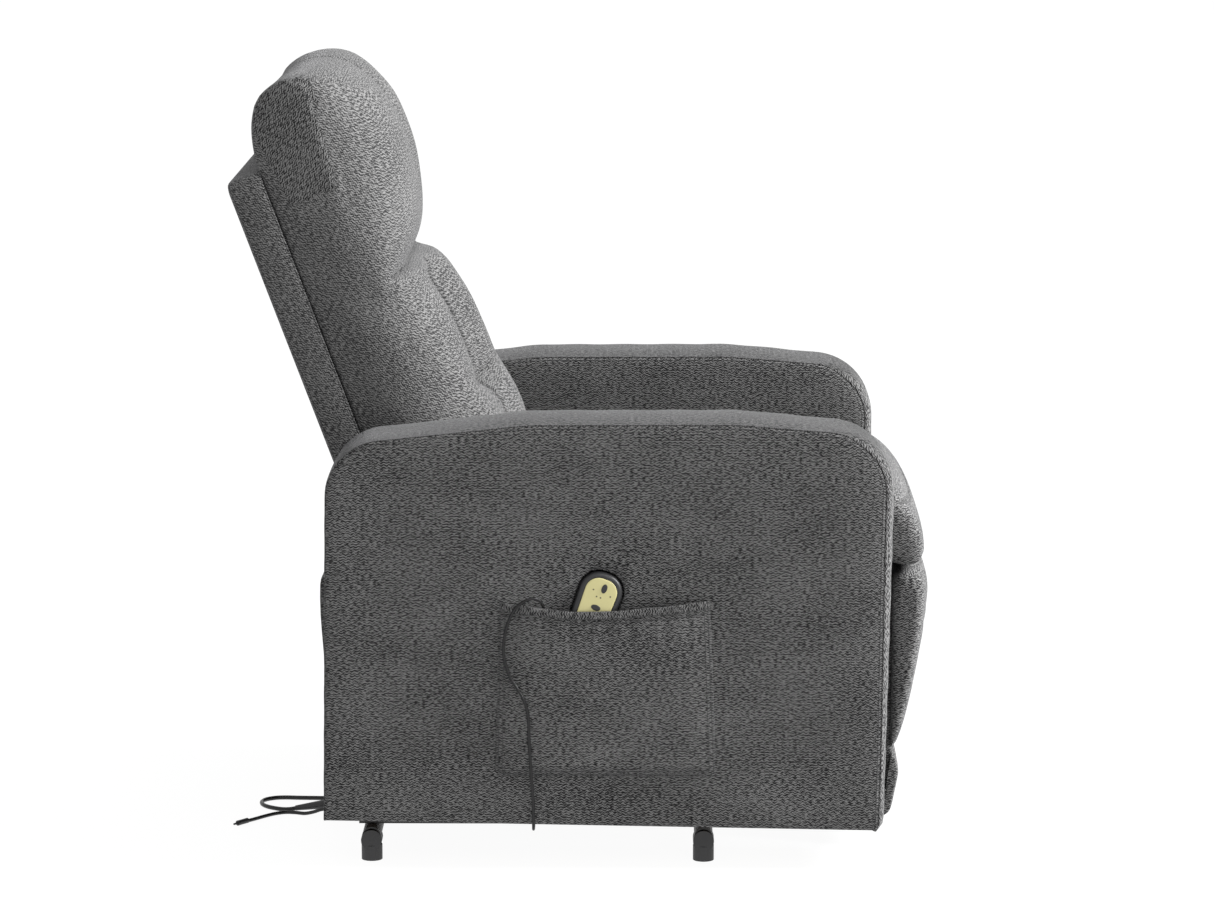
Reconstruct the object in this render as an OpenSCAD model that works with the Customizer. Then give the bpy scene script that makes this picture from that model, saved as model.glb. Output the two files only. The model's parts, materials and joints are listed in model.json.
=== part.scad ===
// Powered lift recliner armchair, built up from its separate pieces.
// Millimetres. +X is the direction the sitter faces, +Y the sitter's left, +Z up.
// The origin is on the floor, in the middle of the footprint.

/* [Body] */
// Half of the overall width, to the outer face of an arm
half_w = 360; // [350:5:380]
// Width of one arm
arm_w = 120; // [110:5:130]
// Height of the arm's flat top above the floor
arm_top = 600; // [590:5:620]
// Thickness of the padded arm panels
panel_t = 20; // [16:1:22]
// Thickness of the padded strip round an arm's edge
band_t = 16; // [12:1:20]

/* [Back] */
// Angle of the backrest from vertical, chair upright, in degrees
back_angle = 20.5; // [19:0.5:22]
// Depth of the upholstered back shell
shell_t = 42; // [38:1:46]
// Half of the width of the back shell
shell_w = 231; // [222:1:234]

/* [Seat and footrest] */
// Half of the width of the seat cushion
seat_w = 236; // [225:1:238]
// Half of the width of the footrest pads
foot_w = 234; // [225:1:238]

/* [Linkage] */
// Thickness of the steel links and plates
link_t = 5; // [4:0.5:6]
// Radius of the pivot studs
stud_r = 6; // [5:0.5:7]
// Radial running clearance of the pivots
fit = 0.06; // [0.02:0.01:0.1]

/* [Handset] */
// Width of the handset
hand_w = 58; // [52:1:62]
// Length of the handset
hand_l = 148; // [130:1:150]

/* [Hidden] */
$fn = 48;

// --- pivots, as [x, z] in the chair's own frame, chair down and upright
A = [110, 170];      // lift link on the base
B = [166.2, 168.2];  // guide link on the base
C = [-218, 80];      // lift link on the seat mechanism
D = [-40, 100];      // guide link on the seat mechanism
T = [-245, 85];      // tail of the actuator
R = [40, 290];       // end of the actuator's rod on the crank
H = [-250, 340];     // backrest hinge
P1 = [340, 270];     // legrest drive link
P2 = [371, 299];     // legrest guide link
J1 = [215, 115];     // knee of the legrest
K = [257, 149];      // guide link's end on the outer link
M = [316, 288];      // cross tube, on an ear of the legrest drive link
J2 = [382, 250];     // footrest on the outer link

// --- layers of the mechanism, as distances from the middle plane
y_plate = 217;
y_inner = 209;
y_mid = 201;
y_core = 193;

steel = "#2b2c2e";
grey = "#5b5d60";
wood = "#c9a877";
black = "#1b1b1c";

// --- small helpers
function unit(v) = v / norm(v);
function un(u, n) = [-470 + n * cos(back_angle) - u * sin(back_angle), 900 + n * sin(back_angle) + u * cos(back_angle)];
// points of one rounded corner of a polygon
function corner(p, v, q, r, n = 9) = r <= 0 ? [v] :
  let (a = unit(p - v), b = unit(q - v), h = acos(a * b) / 2, d = r / tan(h), c = v + unit(a + b) * r / sin(h),
       e0 = (v + a * d - c) / r, e1 = (v + b * d - c) / r, w = acos(min(1, max(-1, e0 * e1))))
  [for (k = [0 : n]) let (t = k / n) c + r * (e0 * sin((1 - t) * w) + e1 * sin(t * w)) / sin(w)];
// polygon from [x, z, corner radius] rows
function rounded(v, n = 9) = [for (i = [0 : len(v) - 1]) let (m = len(v), p = v[(i + m - 1) % m], q = v[(i + 1) % m])
  each corner([p[0], p[1]], [v[i][0], v[i][1]], [q[0], q[1]], v[i][2], n)];

module xz(y0, y1) translate([0, y1, 0]) rotate([90, 0, 0]) linear_extrude(height = y1 - y0) children();
module ycyl(p, r, y0, y1) translate([p[0], y1, p[1]]) rotate([90, 0, 0]) cylinder(r = r, h = y1 - y0);
module box(a, b) translate(a) cube(b - a);
// a left-hand piece and its mirror image on the right
module both() { children(); mirror([0, 1, 0]) children(); }

// flat bar with round ends between two pivots, with a bore at each end
module bar(p, q, w, y0, t, rp, rq) difference() {
  let (a = atan2(q[1] - p[1], q[0] - p[0])) xz(y0, y0 + t) polygon(concat(
    [for (k = [0 : 12]) q + w / 2 * [cos(a - 90 + 15 * k), sin(a - 90 + 15 * k)]],
    [for (k = [0 : 12]) p + w / 2 * [cos(a + 90 + 15 * k), sin(a + 90 + 15 * k)]]));
  if (rp > 0) ycyl(p, rp, y0 - 1, y0 + t + 1);
  if (rq > 0) ycyl(q, rq, y0 - 1, y0 + t + 1);
}
// riveted stud that runs inboard from y1 down to y0 with a head beyond it
module stud_in(p, y0, y1, r = stud_r) { ycyl(p, r, y0, y1); ycyl(p, r + 4, y0 - 2.5, y0); }
// the same, running outboard
module stud_out(p, y0, y1, r = stud_r) { ycyl(p, r, y0, y1); ycyl(p, r + 4, y1, y1 + 2.5); }

// --- base
module tube_y(x, z, ro, ri, y) difference() { ycyl([x, z], ro, -y, y); ycyl([x, z], ri, -y - 1, y + 1); }
module base_cross_tubes() color(steel) { tube_y(162, 33, 12.5, 10.5, 312); tube_y(-282, 33, 12.5, 10.5, 312); }
// square rails, coped over the two cross tubes, inside the hollow arms
module base_side_rails() color(steel) both() difference() {
  box([-300, 266, 44.5], [180, 288, 64]);
  box([-301, 268, 46.5], [181, 286, 62]);
  for (x = [-282, 162]) ycyl([x, 33], 12.5, 260, 300);
}
// upright plate that carries both lift pivots of one side
module base_pivot_brackets() color(steel) both() {
  difference() {
    union() {
      xz(y_mid, y_mid + link_t) polygon(rounded([[92, 190, 16], [90, 150, 10], [146, 72, 10], [149, 33, 0], [175, 33, 0], [182, 72, 10], [186, 150, 10], [184, 190, 16]], 6));
    }
    ycyl([162, 33], 12.5, y_mid - 1, y_mid + link_t + 1);
  }
  stud_in(A, y_core - 0.4, y_mid);
  stud_out(B, y_mid + link_t, y_inner + link_t + 0.3, stud_r - 1);
}
// moulded glides that cap the ends of the cross tubes
module glide(x, y) difference() {
  union() {
    translate([x, y, 0]) cylinder(r = 14, h = 20);
    ycyl([x, 28], 14, y - 13, y + 13);
    translate([x, y, 0]) cylinder(r1 = 13, r2 = 14, h = 2);
  }
  ycyl([x, 33], 12.5, y > 0 ? y - 40 : -312.2, y > 0 ? 312.2 : y + 40);
}
module base_feet() color(black) for (x = [-282, 162], y = [-303, 303]) glide(x, y);
// two ears welded to the rear cross tube, with the actuator's tail pin between them
module actuator_bracket() color(steel) {
  both() difference() {
    xz(15, 20) polygon(rounded([[-294, 36, 2], [-270, 36, 2], [-229, 70, 8], [-229, 101, 14], [-261, 101, 14], [-292, 60, 8]], 6));
    ycyl([-282, 33], 12.5, 14, 21);
  }
  ycyl(T, 5, -16, 16);
}
module power_bracket() color(steel) box([-352, -118, 45.5], [-276, -22, 48]);
module power_supply() color(black) box([-356, -114, 9], [-296, -26, 45.5]);
// tapered moulded strain relief of the mains lead
module mains_strain_relief() color(black) translate([-354, -70.5, 16.4]) rotate([0, -90, -14]) rotate([0, -11, 0]) cylinder(r1 = 7, r2 = 3.6, h = 52);

// --- lift linkage
module lift_links() color(steel) both() bar(A, C, 30, y_core, link_t, stud_r + fit, stud_r + fit);
module lift_cross_tube() color(steel) ycyl([52, 154], 14, -y_core, y_core);
module actuator_crank() color(steel) {
  both() difference() {
    union() {
      xz(14, 19) polygon(rounded([[30, 150, 8], [70, 150, 8], [57, 292, 0], [23, 292, 0]], 5));
      ycyl(R, 17, 14, 19);
    }
    ycyl([52, 154], 14, 13, 20);
  }
  ycyl(R, 5, -19, 19);
}
// the guide link's rear bore is wide: this pivot is where the closed linkage is opened
module lift_guide_links() color(steel) both() bar(B, D, 28, y_inner, link_t, stud_r - 1 + fit, 6.6);

// --- actuator, along its own axis
act_a = atan2(R[1] - T[1], R[0] - T[0]);
act_l = norm(R - T);
module along() translate([T[0], 0, T[1]]) rotate([0, -act_a, 0]) children();
module actuator_gearbox() color(black) {
  along() difference() {
    union() {
      ycyl([0, 0], 13, -12, 12);
      box([0, -12, -13], [30, 12, 13]);
      box([24, -30, -28], [92, 76, 28]);
    }
    ycyl([0, 0], 5 + fit, -40, 40);
  }
}
module actuator_motor() color("#3a3b3d") along() translate([92, 52, 0]) rotate([0, 90, 0]) { cylinder(r = 24, h = 104); translate([0, 0, 104]) cylinder(r = 15, h = 6); }
module actuator_tube() color(black) along() difference() {
  translate([92, 0, 0]) rotate([0, 90, 0]) cylinder(r = 18, h = 158);
  translate([91, 0, 0]) rotate([0, 90, 0]) cylinder(r = 10 + fit, h = 161);
}
// steel rod with a slotted end over the crank's pin
module actuator_rod() color("#b9bbbe") along() difference() {
  union() {
    translate([116, 0, 0]) rotate([0, 90, 0]) cylinder(r = 10, h = act_l - 116);
    box([act_l - 22, -10, -13], [act_l + 19, 10, 22]);
  }
  ycyl([act_l, 0], 6, -20, 20);
  ycyl([act_l + 5.2, 8.4], 6, -20, 20);
  translate([act_l, 0, 0]) rotate([0, -58, 0]) box([0, -20, -6], [9.9, 20, 6]);
}

// --- seat mechanism plates
module mech_plate() color(steel) difference() {
  union() {
    xz(y_plate, y_plate + link_t) polygon(rounded([[-266, 352, 10], [-270, 318, 14], [-244, 262, 10], [-236, 80, 0], [-200, 80, 0], [-190, 250, 14], [-70, 250, 14], [-56, 100, 0],
      [-24, 100, 0], [-14, 250, 14], [300, 250, 10], [366, 262, 12], [390, 290, 10], [390, 316, 8], [374, 345, 4], [-150, 345, 14], [-215, 352, 8]], 6));
    ycyl(C, 18, y_plate, y_plate + link_t);
    ycyl(D, 16, y_plate, y_plate + link_t);
  }
  ycyl(P1, 8 + fit, 200, 230);
  ycyl(H, stud_r + fit, 200, 230);
}
module mech_studs() {
  stud_in(C, y_core - 0.4, y_plate);
  stud_in(D, y_inner - 0.4, y_plate, 5);
  stud_in(P2, y_core - 0.4, y_plate, 5);
}
module mech_plate_left() color(steel) { mech_plate(); mech_studs(); }
module mech_plate_right() color(steel) mirror([0, 1, 0]) { mech_plate(); mech_studs(); }
module mech_cross_tubes() color(steel) { tube_y(-120, 322, 11, 9.5, y_plate); tube_y(200, 322, 11, 9.5, y_plate); }

// --- seat box and springs
module seat_side_boards() color(wood) both() box([-150, y_plate + link_t, 300], [378, half_w - arm_w, 392]);
module seat_front_board() color(wood) box([360, -y_plate - link_t, 350], [378, y_plate + link_t, 392]);
module seat_rear_board() color(wood) box([-150, -y_plate - link_t, 350], [-132, y_plate + link_t, 392]);
// serpentine springs run from the rear board to the front board
function wave(x, y, a, p) = y + a * sin(360 * x / p);
spring_p = 488.6 / 9;
module spring(y, a = 24, w = 3.6, s = 10) linear_extrude(height = 3.6) polygon(concat(
  [for (i = [0 : s * 9]) let (x = i * spring_p / s, d = a * 360 / spring_p * PI / 180 * cos(360 * x / spring_p), l = sqrt(1 + d * d)) [-130.3 + x - w / 2 * -d / l * -1, wave(x, y, a, spring_p) + w / 2 / l]],
  [for (i = [s * 9 : -1 : 0]) let (x = i * spring_p / s, d = a * 360 / spring_p * PI / 180 * cos(360 * x / spring_p), l = sqrt(1 + d * d)) [-130.3 + x + w / 2 * -d / l * -1, wave(x, y, a, spring_p) - w / 2 / l]]));
module seat_springs() color("#8d9093") for (y = [-168, -84, 0, 84, 168]) translate([0, 0, 386]) spring(y);
module seat_cushion() color(grey) xz(-seat_w, seat_w) polygon([[-150, 392.4], [405, 392.4], [428, 386], [448, 384], [460, 393], [463, 408], [458, 432], [445, 460], [429, 482], [408, 500],
  [378, 514], [335, 523], [250, 526], [100, 517], [-40, 503], [-120, 495], [-143, 488], [-150, 476]]);
module control_box() color(black) box([-112, -y_plate, 254], [-34, -178, 288]);

// --- arms
ax = half_w - arm_w;
function arm_v(i) = [[-342.5 + i, 69, i > 0 ? 0 : 14], [-335.5 + i, arm_top - 29 - i, 84 - i], [-70, arm_top - 1 - i, 300], [200, arm_top - i, 300], [411 - i, arm_top - 16 - i, 80 - i], [399.5 - i, 54, i > 0 ? 0 : 14]];
module arm_panel(y0, y1) xz(y0, y1) polygon(rounded(arm_v(0)));
module arm_band(y0, y1) difference() {
  xz(y0, y1) polygon(rounded(arm_v(0)));
  xz(y0 - 1, y1 + 1) polygon(concat(rounded(arm_v(band_t)), [[399.5 - band_t, 0], [-342.5 + band_t, 0]]));
}
module arm_outer_panel_left() color(grey) arm_panel(half_w - panel_t, half_w);
module arm_inner_panel_left() color(grey) arm_panel(ax, ax + panel_t);
module arm_band_left() color(grey) arm_band(ax + panel_t, half_w - panel_t);
// the right panel has a hollow in its padding where the handset rests
module arm_outer_panel_right() color(grey) difference() {
  mirror([0, 1, 0]) arm_panel(half_w - panel_t, half_w);
  hand_frame() box([-hand_w / 2 - 2, -half_w - 1, -hand_l / 2 - 2], [hand_w / 2 + 2, hand_y1 + 0.3, hand_l / 2 + 2]);
}
module arm_inner_panel_right() color(grey) mirror([0, 1, 0]) arm_inner_panel_left();
module arm_band_right() color(grey) mirror([0, 1, 0]) arm_band_left();
module arm_frames() color(wood) both() {
  y0 = ax + panel_t; y1 = half_w - panel_t;
  box([-318, y0, 92], [-294, y1, 470]);
  box([352, y0, 92], [376, y1, 470]);
  box([-294, y0, 92], [352, y1, 112]);
  box([-294, y0, 452], [352, y1, 470]);
  box([20, y0, 112], [40, y1, 452]);
}
module rear_skirt() color(grey) xz(-ax, ax) polygon(rounded([[-341, 96, 2], [-343, 200, 0], [-348, 280, 0], [-351, 330, 0], [-349, 372, 5], [-334, 372, 5], [-334, 96, 2]], 5));

// --- side pocket, a flat bag sewn to the right arm
module pocket_outline() polygon(concat(
  [[-109, 363], [-82, 360], [-56, 357], [-11, 352], [43, 354], [102, 359], [169, 366]],
  corner([169, 366], [178, 128], [-109, 128], 12, 4), corner([178, 128], [-114, 130], [-109, 363], 12, 4)));
module side_pocket() color(grey) {
  difference() {
    xz(-half_w - 13.3, -half_w) pocket_outline();
    xz(-half_w - 11.3, -half_w + 1) polygon([[-106, 400], [-110, 134], [-107, 132], [172, 132], [174, 134], [165.5, 400]]);
  }
}

// --- handset, leaning in the pocket
hand_c = [9, 332.5];
hand_lean = 20;
hand_y0 = -half_w - 9.5;
hand_y1 = -half_w + 10;
module hand_frame() translate([hand_c[0], 0, hand_c[1]]) rotate([0, hand_lean, 0]) children();
function hand_v(i) = [[-hand_w / 2 + i, hand_l / 2 - i, 26 - i], [hand_w / 2 - i, hand_l / 2 - i, 26 - i], [hand_w / 2 - 3 - i, -hand_l / 2 + i, 12 - i], [-hand_w / 2 + 3 + i, -hand_l / 2 + i, 12 - i]];
module handset_shell() color(black) hand_frame() difference() {
  xz(hand_y0, hand_y1) polygon(rounded(hand_v(0), 8));
  // seats of the face plate and of the two keys
  xz(hand_y0 - 1, hand_y0 + 1.2) polygon(rounded(hand_v(7), 8));
  ycyl([3, 52], 5.3, hand_y0 - 1, hand_y0 + 6);
  ycyl([0, 26], 6.3, hand_y0 - 1, hand_y0 + 6);
}
module handset_face() color("#c9c38c") hand_frame() difference() {
  xz(hand_y0 - 0.4, hand_y0 + 1.2) polygon(rounded(hand_v(7), 8));
  ycyl([3, 52], 5.3, hand_y0 - 2, hand_y0 + 2);
  ycyl([0, 26], 6.3, hand_y0 - 2, hand_y0 + 2);
}
module handset_button_up() color(black) hand_frame() ycyl([3, 52], 5, hand_y0 - 1.6, hand_y0 + 3.4);
module handset_button_down() color(black) hand_frame() ycyl([0, 26], 6, hand_y0 - 1.4, hand_y0 + 3.6);
module handset_cord_gland() color(black) hand_frame() translate([0, hand_y0 + 5, -hand_l / 2 - 14]) cylinder(r1 = 2.6, r2 = 4.2, h = 14);

// --- backrest, laid out in its own leaning frame
module on_back(y0, y1, pts) xz(y0, y1) polygon([for (p = pts) un(p[0], p[1])]);
module back_shell() color(grey) difference() {
  on_back(-shell_w, shell_w, [[0, 0], [0, shell_t], [-575, shell_t], [-575, 0]]);
  on_back(-shell_w + 12, shell_w - 12, [[-12, 10], [-12, shell_t + 1], [-576, shell_t + 1], [-576, 10]]);
}
module back_side_rails() color(wood) both() on_back(172, 207, [[-12, 12], [-12, 40], [-572, 40], [-572, 12]]);
module back_cross_rails() color(wood) for (u = [-12, -285, -530]) on_back(-172, 172, [[u, 12], [u, 40], [u - 42, 40], [u - 42, 12]]);
module back_webbing() color("#2f3a33") for (u = [-80, -150, -220, -350, -415, -480]) on_back(-206, 206, [[u, 40], [u, 41.6], [u - 44, 41.6], [u - 44, 40]]);
// steel brackets that drop the back onto the mechanism, with the hinge studs
module back_brackets() color(steel) both() {
  union() {
    on_back(y_inner, y_inner + link_t, [[-470, 14], [-470, 38], [-590, 38], [-604, 20], [-604, 4], [-590, 0], [-580, 2], [-577, 14]]);
    ycyl(H, 12, y_inner, y_inner + link_t);
  }
  ycyl(H, stud_r, y_inner + link_t, y_plate + link_t - 0.2);
}
module lumbar_cushion() color(grey) on_back(-228, 228, [[-191, 42.5], [-195, 120], [-195, 168], [-204, 179], [-229, 196], [-274, 208], [-320, 213], [-362, 213], [-385, 212], [-402, 219],
  [-432, 228], [-467, 233], [-490, 232], [-499, 222], [-494, 172], [-500, 136], [-545, 126], [-560, 110], [-560, 42.5]]);
module head_cushion() color(grey) on_back(-226, 226, [[-188, 42.5], [-192, 120], [-191, 170], [-163, 198], [-117, 221], [-77, 231], [-32, 238], [14, 236], [47, 227], [73, 216], [100, 198], [115, 176],
  [118, 150], [116, 125], [98, 91], [76, 66], [50, 52], [14, 44], [4, 42.5]]);

// --- legrest
module legrest_drive_links() color(steel) both() {
  bar(P1, J1, 28, y_inner, link_t, 0, 0);
  bar(P1, M, 26, y_inner, link_t, 0, 0);
  ycyl(P1, 8, y_inner + link_t, y_plate + link_t - 0.2);
  stud_in(J1, y_mid - 0.3, y_inner);
}
module legrest_drive_tube() color(steel) tube_y(M[0], M[1], 10, 8, y_inner);
module legrest_guide_links() color(steel) both() bar(P2, K, 24, y_core, link_t, 5 + fit, 0);
module legrest_outer_links() color(steel) both() {
  bar(J1, J2, 26, y_mid, link_t, stud_r + fit, 0);
  stud_in(J2, y_core - 0.3, y_mid);
}
module footrest_board() color(wood) box([400, -215, 72], [415, 215, 346]);
module footrest_brackets() color(steel) both() difference() {
  xz(y_core, y_core + link_t) polygon(rounded([[367, 265, 10], [367, 236, 10], [400, 205, 0], [400, 300, 0], [386, 300, 6]], 6));
  ycyl(J2, stud_r + fit, y_core - 1, y_core + link_t + 1);
}
module footrest_pad() color(grey) xz(-foot_w, foot_w) polygon([[415.4, 131], [415.4, 352], [418, 366], [430, 375], [446, 375], [459, 367], [465, 350], [464, 320], [459, 280], [450, 220], [438, 170], [427, 140], [421, 131]]);
module footrest_roll() color(grey) xz(-foot_w, foot_w) polygon(rounded([[406, 36, 8], [396, 60, 6], [397, 71, 3], [415.4, 71.6, 0], [415.4, 128, 4], [428, 126, 8], [430, 90, 30], [424, 46, 16]], 5));

// --- cords: routes are [x, y, z] along the middle of the cord
handset_route = [[-20.8, -364.5, 250.8], [-25.5, -364.5, 238], [-32, -364.5, 227.5], [-41, -364.5, 221], [-50, -364.5, 224], [-55.5, -364.5, 234], [-57.5, -364.5, 249], [-55, -364.6, 280],
  [-49, -365, 325], [-49, -366, 350], [-52, -368, 363], [-58, -371.5, 369], [-67, -375, 370], [-77, -376.2, 366], [-87, -376.2, 357], [-94, -376.2, 344], [-99, -376.2, 328], [-102, -376.2, 311],
  [-102, -376.2, 294], [-98, -376.2, 278], [-92, -376.2, 262], [-82, -376.2, 246], [-74, -376.2, 230], [-70, -376.2, 210], [-69, -376.2, 180], [-67, -376.2, 145], [-66, -376, 128], [-65, -372.5, 112],
  [-64, -366, 96], [-64, -363.4, 80], [-64, -363.4, 66], [-64, -361.5, 58], [-64, -356, 54.5], [-64, -344, 54.5], [-64, -338.5, 58], [-64, -336.5, 66], [-64, -331, 72], [-64, -318, 75.5],
  [-64, -300, 77], [-64, -282, 75.5], [-64, -269, 72], [-64, -263.5, 66], [-64, -261.5, 58], [-65, -256, 54.5], [-67, -244, 54.5], [-68, -238.5, 58], [-70, -236.5, 68], [-74, -232, 90], [-79, -229, 130],
  [-80, -229, 205], [-80, -224, 226], [-80, -214, 238], [-80, -202, 243], [-80, -198, 255]];
mains_route = [[-401, -58.8, 7], [-410, -56.5, 4.6], [-421, -53, 3.2], [-433, -47.5, 3.2], [-445, -38, 3.2], [-453, -25, 3.2], [-455, -9, 3.2], [-449, 4, 3.2], [-437, 12, 3.2], [-422, 14, 3.2], [-395, 12, 3.2],
  [-330, 12, 3.2], [-250, 30, 3.2], [-170, 64, 3.2], [-119, 81, 3.2]];
tail_route = [[-61.5, 108, 14], [-54, 118, 11.5], [-50.5, 130, 8], [-48.5, 143, 5.2], [-46, 156, 4.8], [-42.5, 167, 6.6], [-39.5, 176, 8]];
backup_route = [[-354, -93, 14.4], [-366, -88, 12], [-377, -82, 7], [-390, -75, 3], [-404, -69, 2.7], [-418, -68, 2.7], [-432, -76, 2.7], [-445, -90, 2.7], [-457, -105, 2.7], [-468, -119, 3]];
coil_c = [-100, 120];

function tangent(p, i) = unit(i == 0 ? p[1] - p[0] : i == len(p) - 1 ? p[i] - p[i - 1] : p[i + 1] - p[i - 1]);
function normals(p, i = 0, prev = [0, 0, 1]) = i == len(p) ? [] :
  let (t = tangent(p, i), a = i == 0 ? (abs(t[2]) < 0.8 ? [0, 0, 1] : [0, 1, 0]) : prev, n = unit(a - (a * t) * t)) concat([n], normals(p, i + 1, n));
module cord(p, r, k = 8) {
  nn = normals(p);
  m = len(p);
  polyhedron(points = [for (i = [0 : m - 1]) let (t = tangent(p, i), b = cross(t, nn[i])) for (j = [0 : k - 1]) p[i] + r * cos(360 * j / k) * nn[i] + r * sin(360 * j / k) * b],
    faces = concat([[for (j = [0 : k - 1]) j]], [[for (j = [k - 1 : -1 : 0]) (m - 1) * k + j]],
      [for (i = [0 : m - 2], j = [0 : k - 1]) each [[i * k + j, (i + 1) * k + j, (i + 1) * k + (j + 1) % k], [i * k + j, (i + 1) * k + (j + 1) % k, i * k + (j + 1) % k]]]));
}
module handset_cord() color(black) cord(handset_route, 2);
module mains_cord() color(black) { cord(mains_route, 3); cord(tail_route, 3); }
module mains_coil() color(black) translate([coil_c[0], coil_c[1], 0]) rotate_extrude($fn = 64) polygon([[24, 0.2], [42, 0.2], [42, 18.6], [24, 18.6]]);
// two-pin plug, lying on its flat side
module mains_plug() color(black) translate([-41, 174, 8]) rotate([0, 0, 52]) {
  rotate([0, 90, 0]) cylinder(r1 = 3.6, r2 = 6, h = 22);
  box([20, -9, -8], [50, 9, 6]);
  for (y = [-5, 5]) translate([50, y, -1]) rotate([0, 90, 0]) cylinder(r = 2, h = 19);
}
module backup_lead() color(black) cord(backup_route, 2.5);
// small barrel connector at its end
module backup_connector() color(black) translate([-466, -117, 3.8]) rotate([0, 0, -128]) rotate([0, 90, 0]) { cylinder(r = 3.6, h = 20); cylinder(r = 1.4, h = 27); }

base_cross_tubes();
base_side_rails();
base_pivot_brackets();
base_feet();
actuator_bracket();
power_bracket();
power_supply();
mains_strain_relief();
lift_links();
lift_cross_tube();
actuator_crank();
lift_guide_links();
actuator_gearbox();
actuator_motor();
actuator_tube();
actuator_rod();
mech_plate_right();
mech_plate_left();
mech_cross_tubes();
seat_side_boards();
seat_front_board();
seat_rear_board();
seat_springs();
seat_cushion();
control_box();
arm_frames();
arm_outer_panel_right();
arm_inner_panel_right();
arm_band_right();
arm_outer_panel_left();
arm_inner_panel_left();
arm_band_left();
rear_skirt();
side_pocket();
handset_shell();
handset_face();
handset_cord_gland();
handset_button_up();
handset_button_down();
back_shell();
back_side_rails();
back_cross_rails();
back_webbing();
back_brackets();
lumbar_cushion();
head_cushion();
legrest_drive_links();
legrest_drive_tube();
legrest_guide_links();
legrest_outer_links();
footrest_board();
footrest_brackets();
footrest_pad();
footrest_roll();
handset_cord();
mains_cord();
mains_coil();
mains_plug();
backup_lead();
backup_connector();
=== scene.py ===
import json
import math

import bpy
import bmesh
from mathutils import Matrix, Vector, noise
from mathutils.bvhtree import BVHTree
from mathutils.kdtree import KDTree


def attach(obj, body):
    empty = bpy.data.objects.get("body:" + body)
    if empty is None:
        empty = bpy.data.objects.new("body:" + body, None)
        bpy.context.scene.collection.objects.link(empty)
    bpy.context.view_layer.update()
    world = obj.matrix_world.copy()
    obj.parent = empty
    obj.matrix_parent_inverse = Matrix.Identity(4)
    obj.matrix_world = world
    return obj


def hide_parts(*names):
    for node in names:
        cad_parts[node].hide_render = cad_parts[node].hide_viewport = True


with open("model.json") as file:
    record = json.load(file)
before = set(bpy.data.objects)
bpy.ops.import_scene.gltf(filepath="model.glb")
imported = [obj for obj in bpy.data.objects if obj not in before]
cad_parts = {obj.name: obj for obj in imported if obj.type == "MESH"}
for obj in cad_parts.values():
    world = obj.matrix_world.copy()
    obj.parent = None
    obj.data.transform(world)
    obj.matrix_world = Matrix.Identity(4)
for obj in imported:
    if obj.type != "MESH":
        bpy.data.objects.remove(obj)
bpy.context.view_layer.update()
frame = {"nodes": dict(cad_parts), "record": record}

# Lengths below are millimetres unless said otherwise; meshes are made in metres.
SCENE = bpy.context.scene
COLL = SCENE.collection
NODES = frame["nodes"]
BA = math.radians(20.5)
CB, SB = math.cos(BA), math.sin(BA)


# ------------------------------------------------------------------ small maths
def un(u, n):
    """Back frame: u up along the back, n forward out of it -> (x, z)."""
    return (-470 + n * CB - u * SB, 900 + n * SB + u * CB)


def sub(a, b):
    return (a[0] - b[0], a[1] - b[1])


def unit(a):
    l = math.hypot(*a) or 1.0
    return (a[0] / l, a[1] / l)


def corner(p, v, q, r, n):
    if r <= 0:
        return [v]
    a, b = unit(sub(p, v)), unit(sub(q, v))
    h = math.acos(max(-1, min(1, a[0] * b[0] + a[1] * b[1]))) / 2
    d = r / math.tan(h)
    m = unit((a[0] + b[0], a[1] + b[1]))
    c = (v[0] + m[0] * r / math.sin(h), v[1] + m[1] * r / math.sin(h))
    e0 = ((v[0] + a[0] * d - c[0]) / r, (v[1] + a[1] * d - c[1]) / r)
    e1 = ((v[0] + b[0] * d - c[0]) / r, (v[1] + b[1] * d - c[1]) / r)
    w = math.acos(max(-1, min(1, e0[0] * e1[0] + e0[1] * e1[1])))
    out = []
    for k in range(n + 1):
        t = k / n
        s0, s1 = math.sin((1 - t) * w) / math.sin(w), math.sin(t * w) / math.sin(w)
        out.append((c[0] + r * (e0[0] * s0 + e1[0] * s1), c[1] + r * (e0[1] * s0 + e1[1] * s1)))
    return out


def rounded(rows, n=9):
    m = len(rows)
    out = []
    for i, (x, z, r) in enumerate(rows):
        out += corner(rows[i - 1][:2], (x, z), rows[(i + 1) % m][:2], r, n)
    return out


def smooth01(t):
    t = max(0.0, min(1.0, t))
    return t * t * (3 - 2 * t)


def catmull(pts, per, closed=False):
    """Catmull-Rom through points of any dimension."""
    n = len(pts)
    dim = len(pts[0])
    out = []
    spans = n if closed else n - 1
    for i in range(spans):
        p = [pts[(i + k) % n] if closed else pts[max(0, min(n - 1, i + k))] for k in (-1, 0, 1, 2)]
        for j in range(per):
            t = j / per
            out.append(tuple(
                0.5 * (2 * p[1][d] + (p[2][d] - p[0][d]) * t + (2 * p[0][d] - 5 * p[1][d] + 4 * p[2][d] - p[3][d]) * t * t
                       + (3 * p[1][d] - p[0][d] - 3 * p[2][d] + p[3][d]) * t ** 3) for d in range(dim)))
    if not closed:
        out.append(tuple(pts[-1]))
    return out


def resample(pts, step):
    """Evenly spaced points along a polyline of 3-D points."""
    acc = [0.0]
    for a, b in zip(pts, pts[1:]):
        acc.append(acc[-1] + math.dist(a, b))
    n = max(2, round(acc[-1] / step))
    out, j = [], 0
    for i in range(n + 1):
        s = acc[-1] * i / n
        while j < len(acc) - 2 and acc[j + 1] < s:
            j += 1
        w = (s - acc[j]) / ((acc[j + 1] - acc[j]) or 1)
        out.append(tuple(pts[j][d] + (pts[j + 1][d] - pts[j][d]) * w for d in range(3)))
    return out


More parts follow.
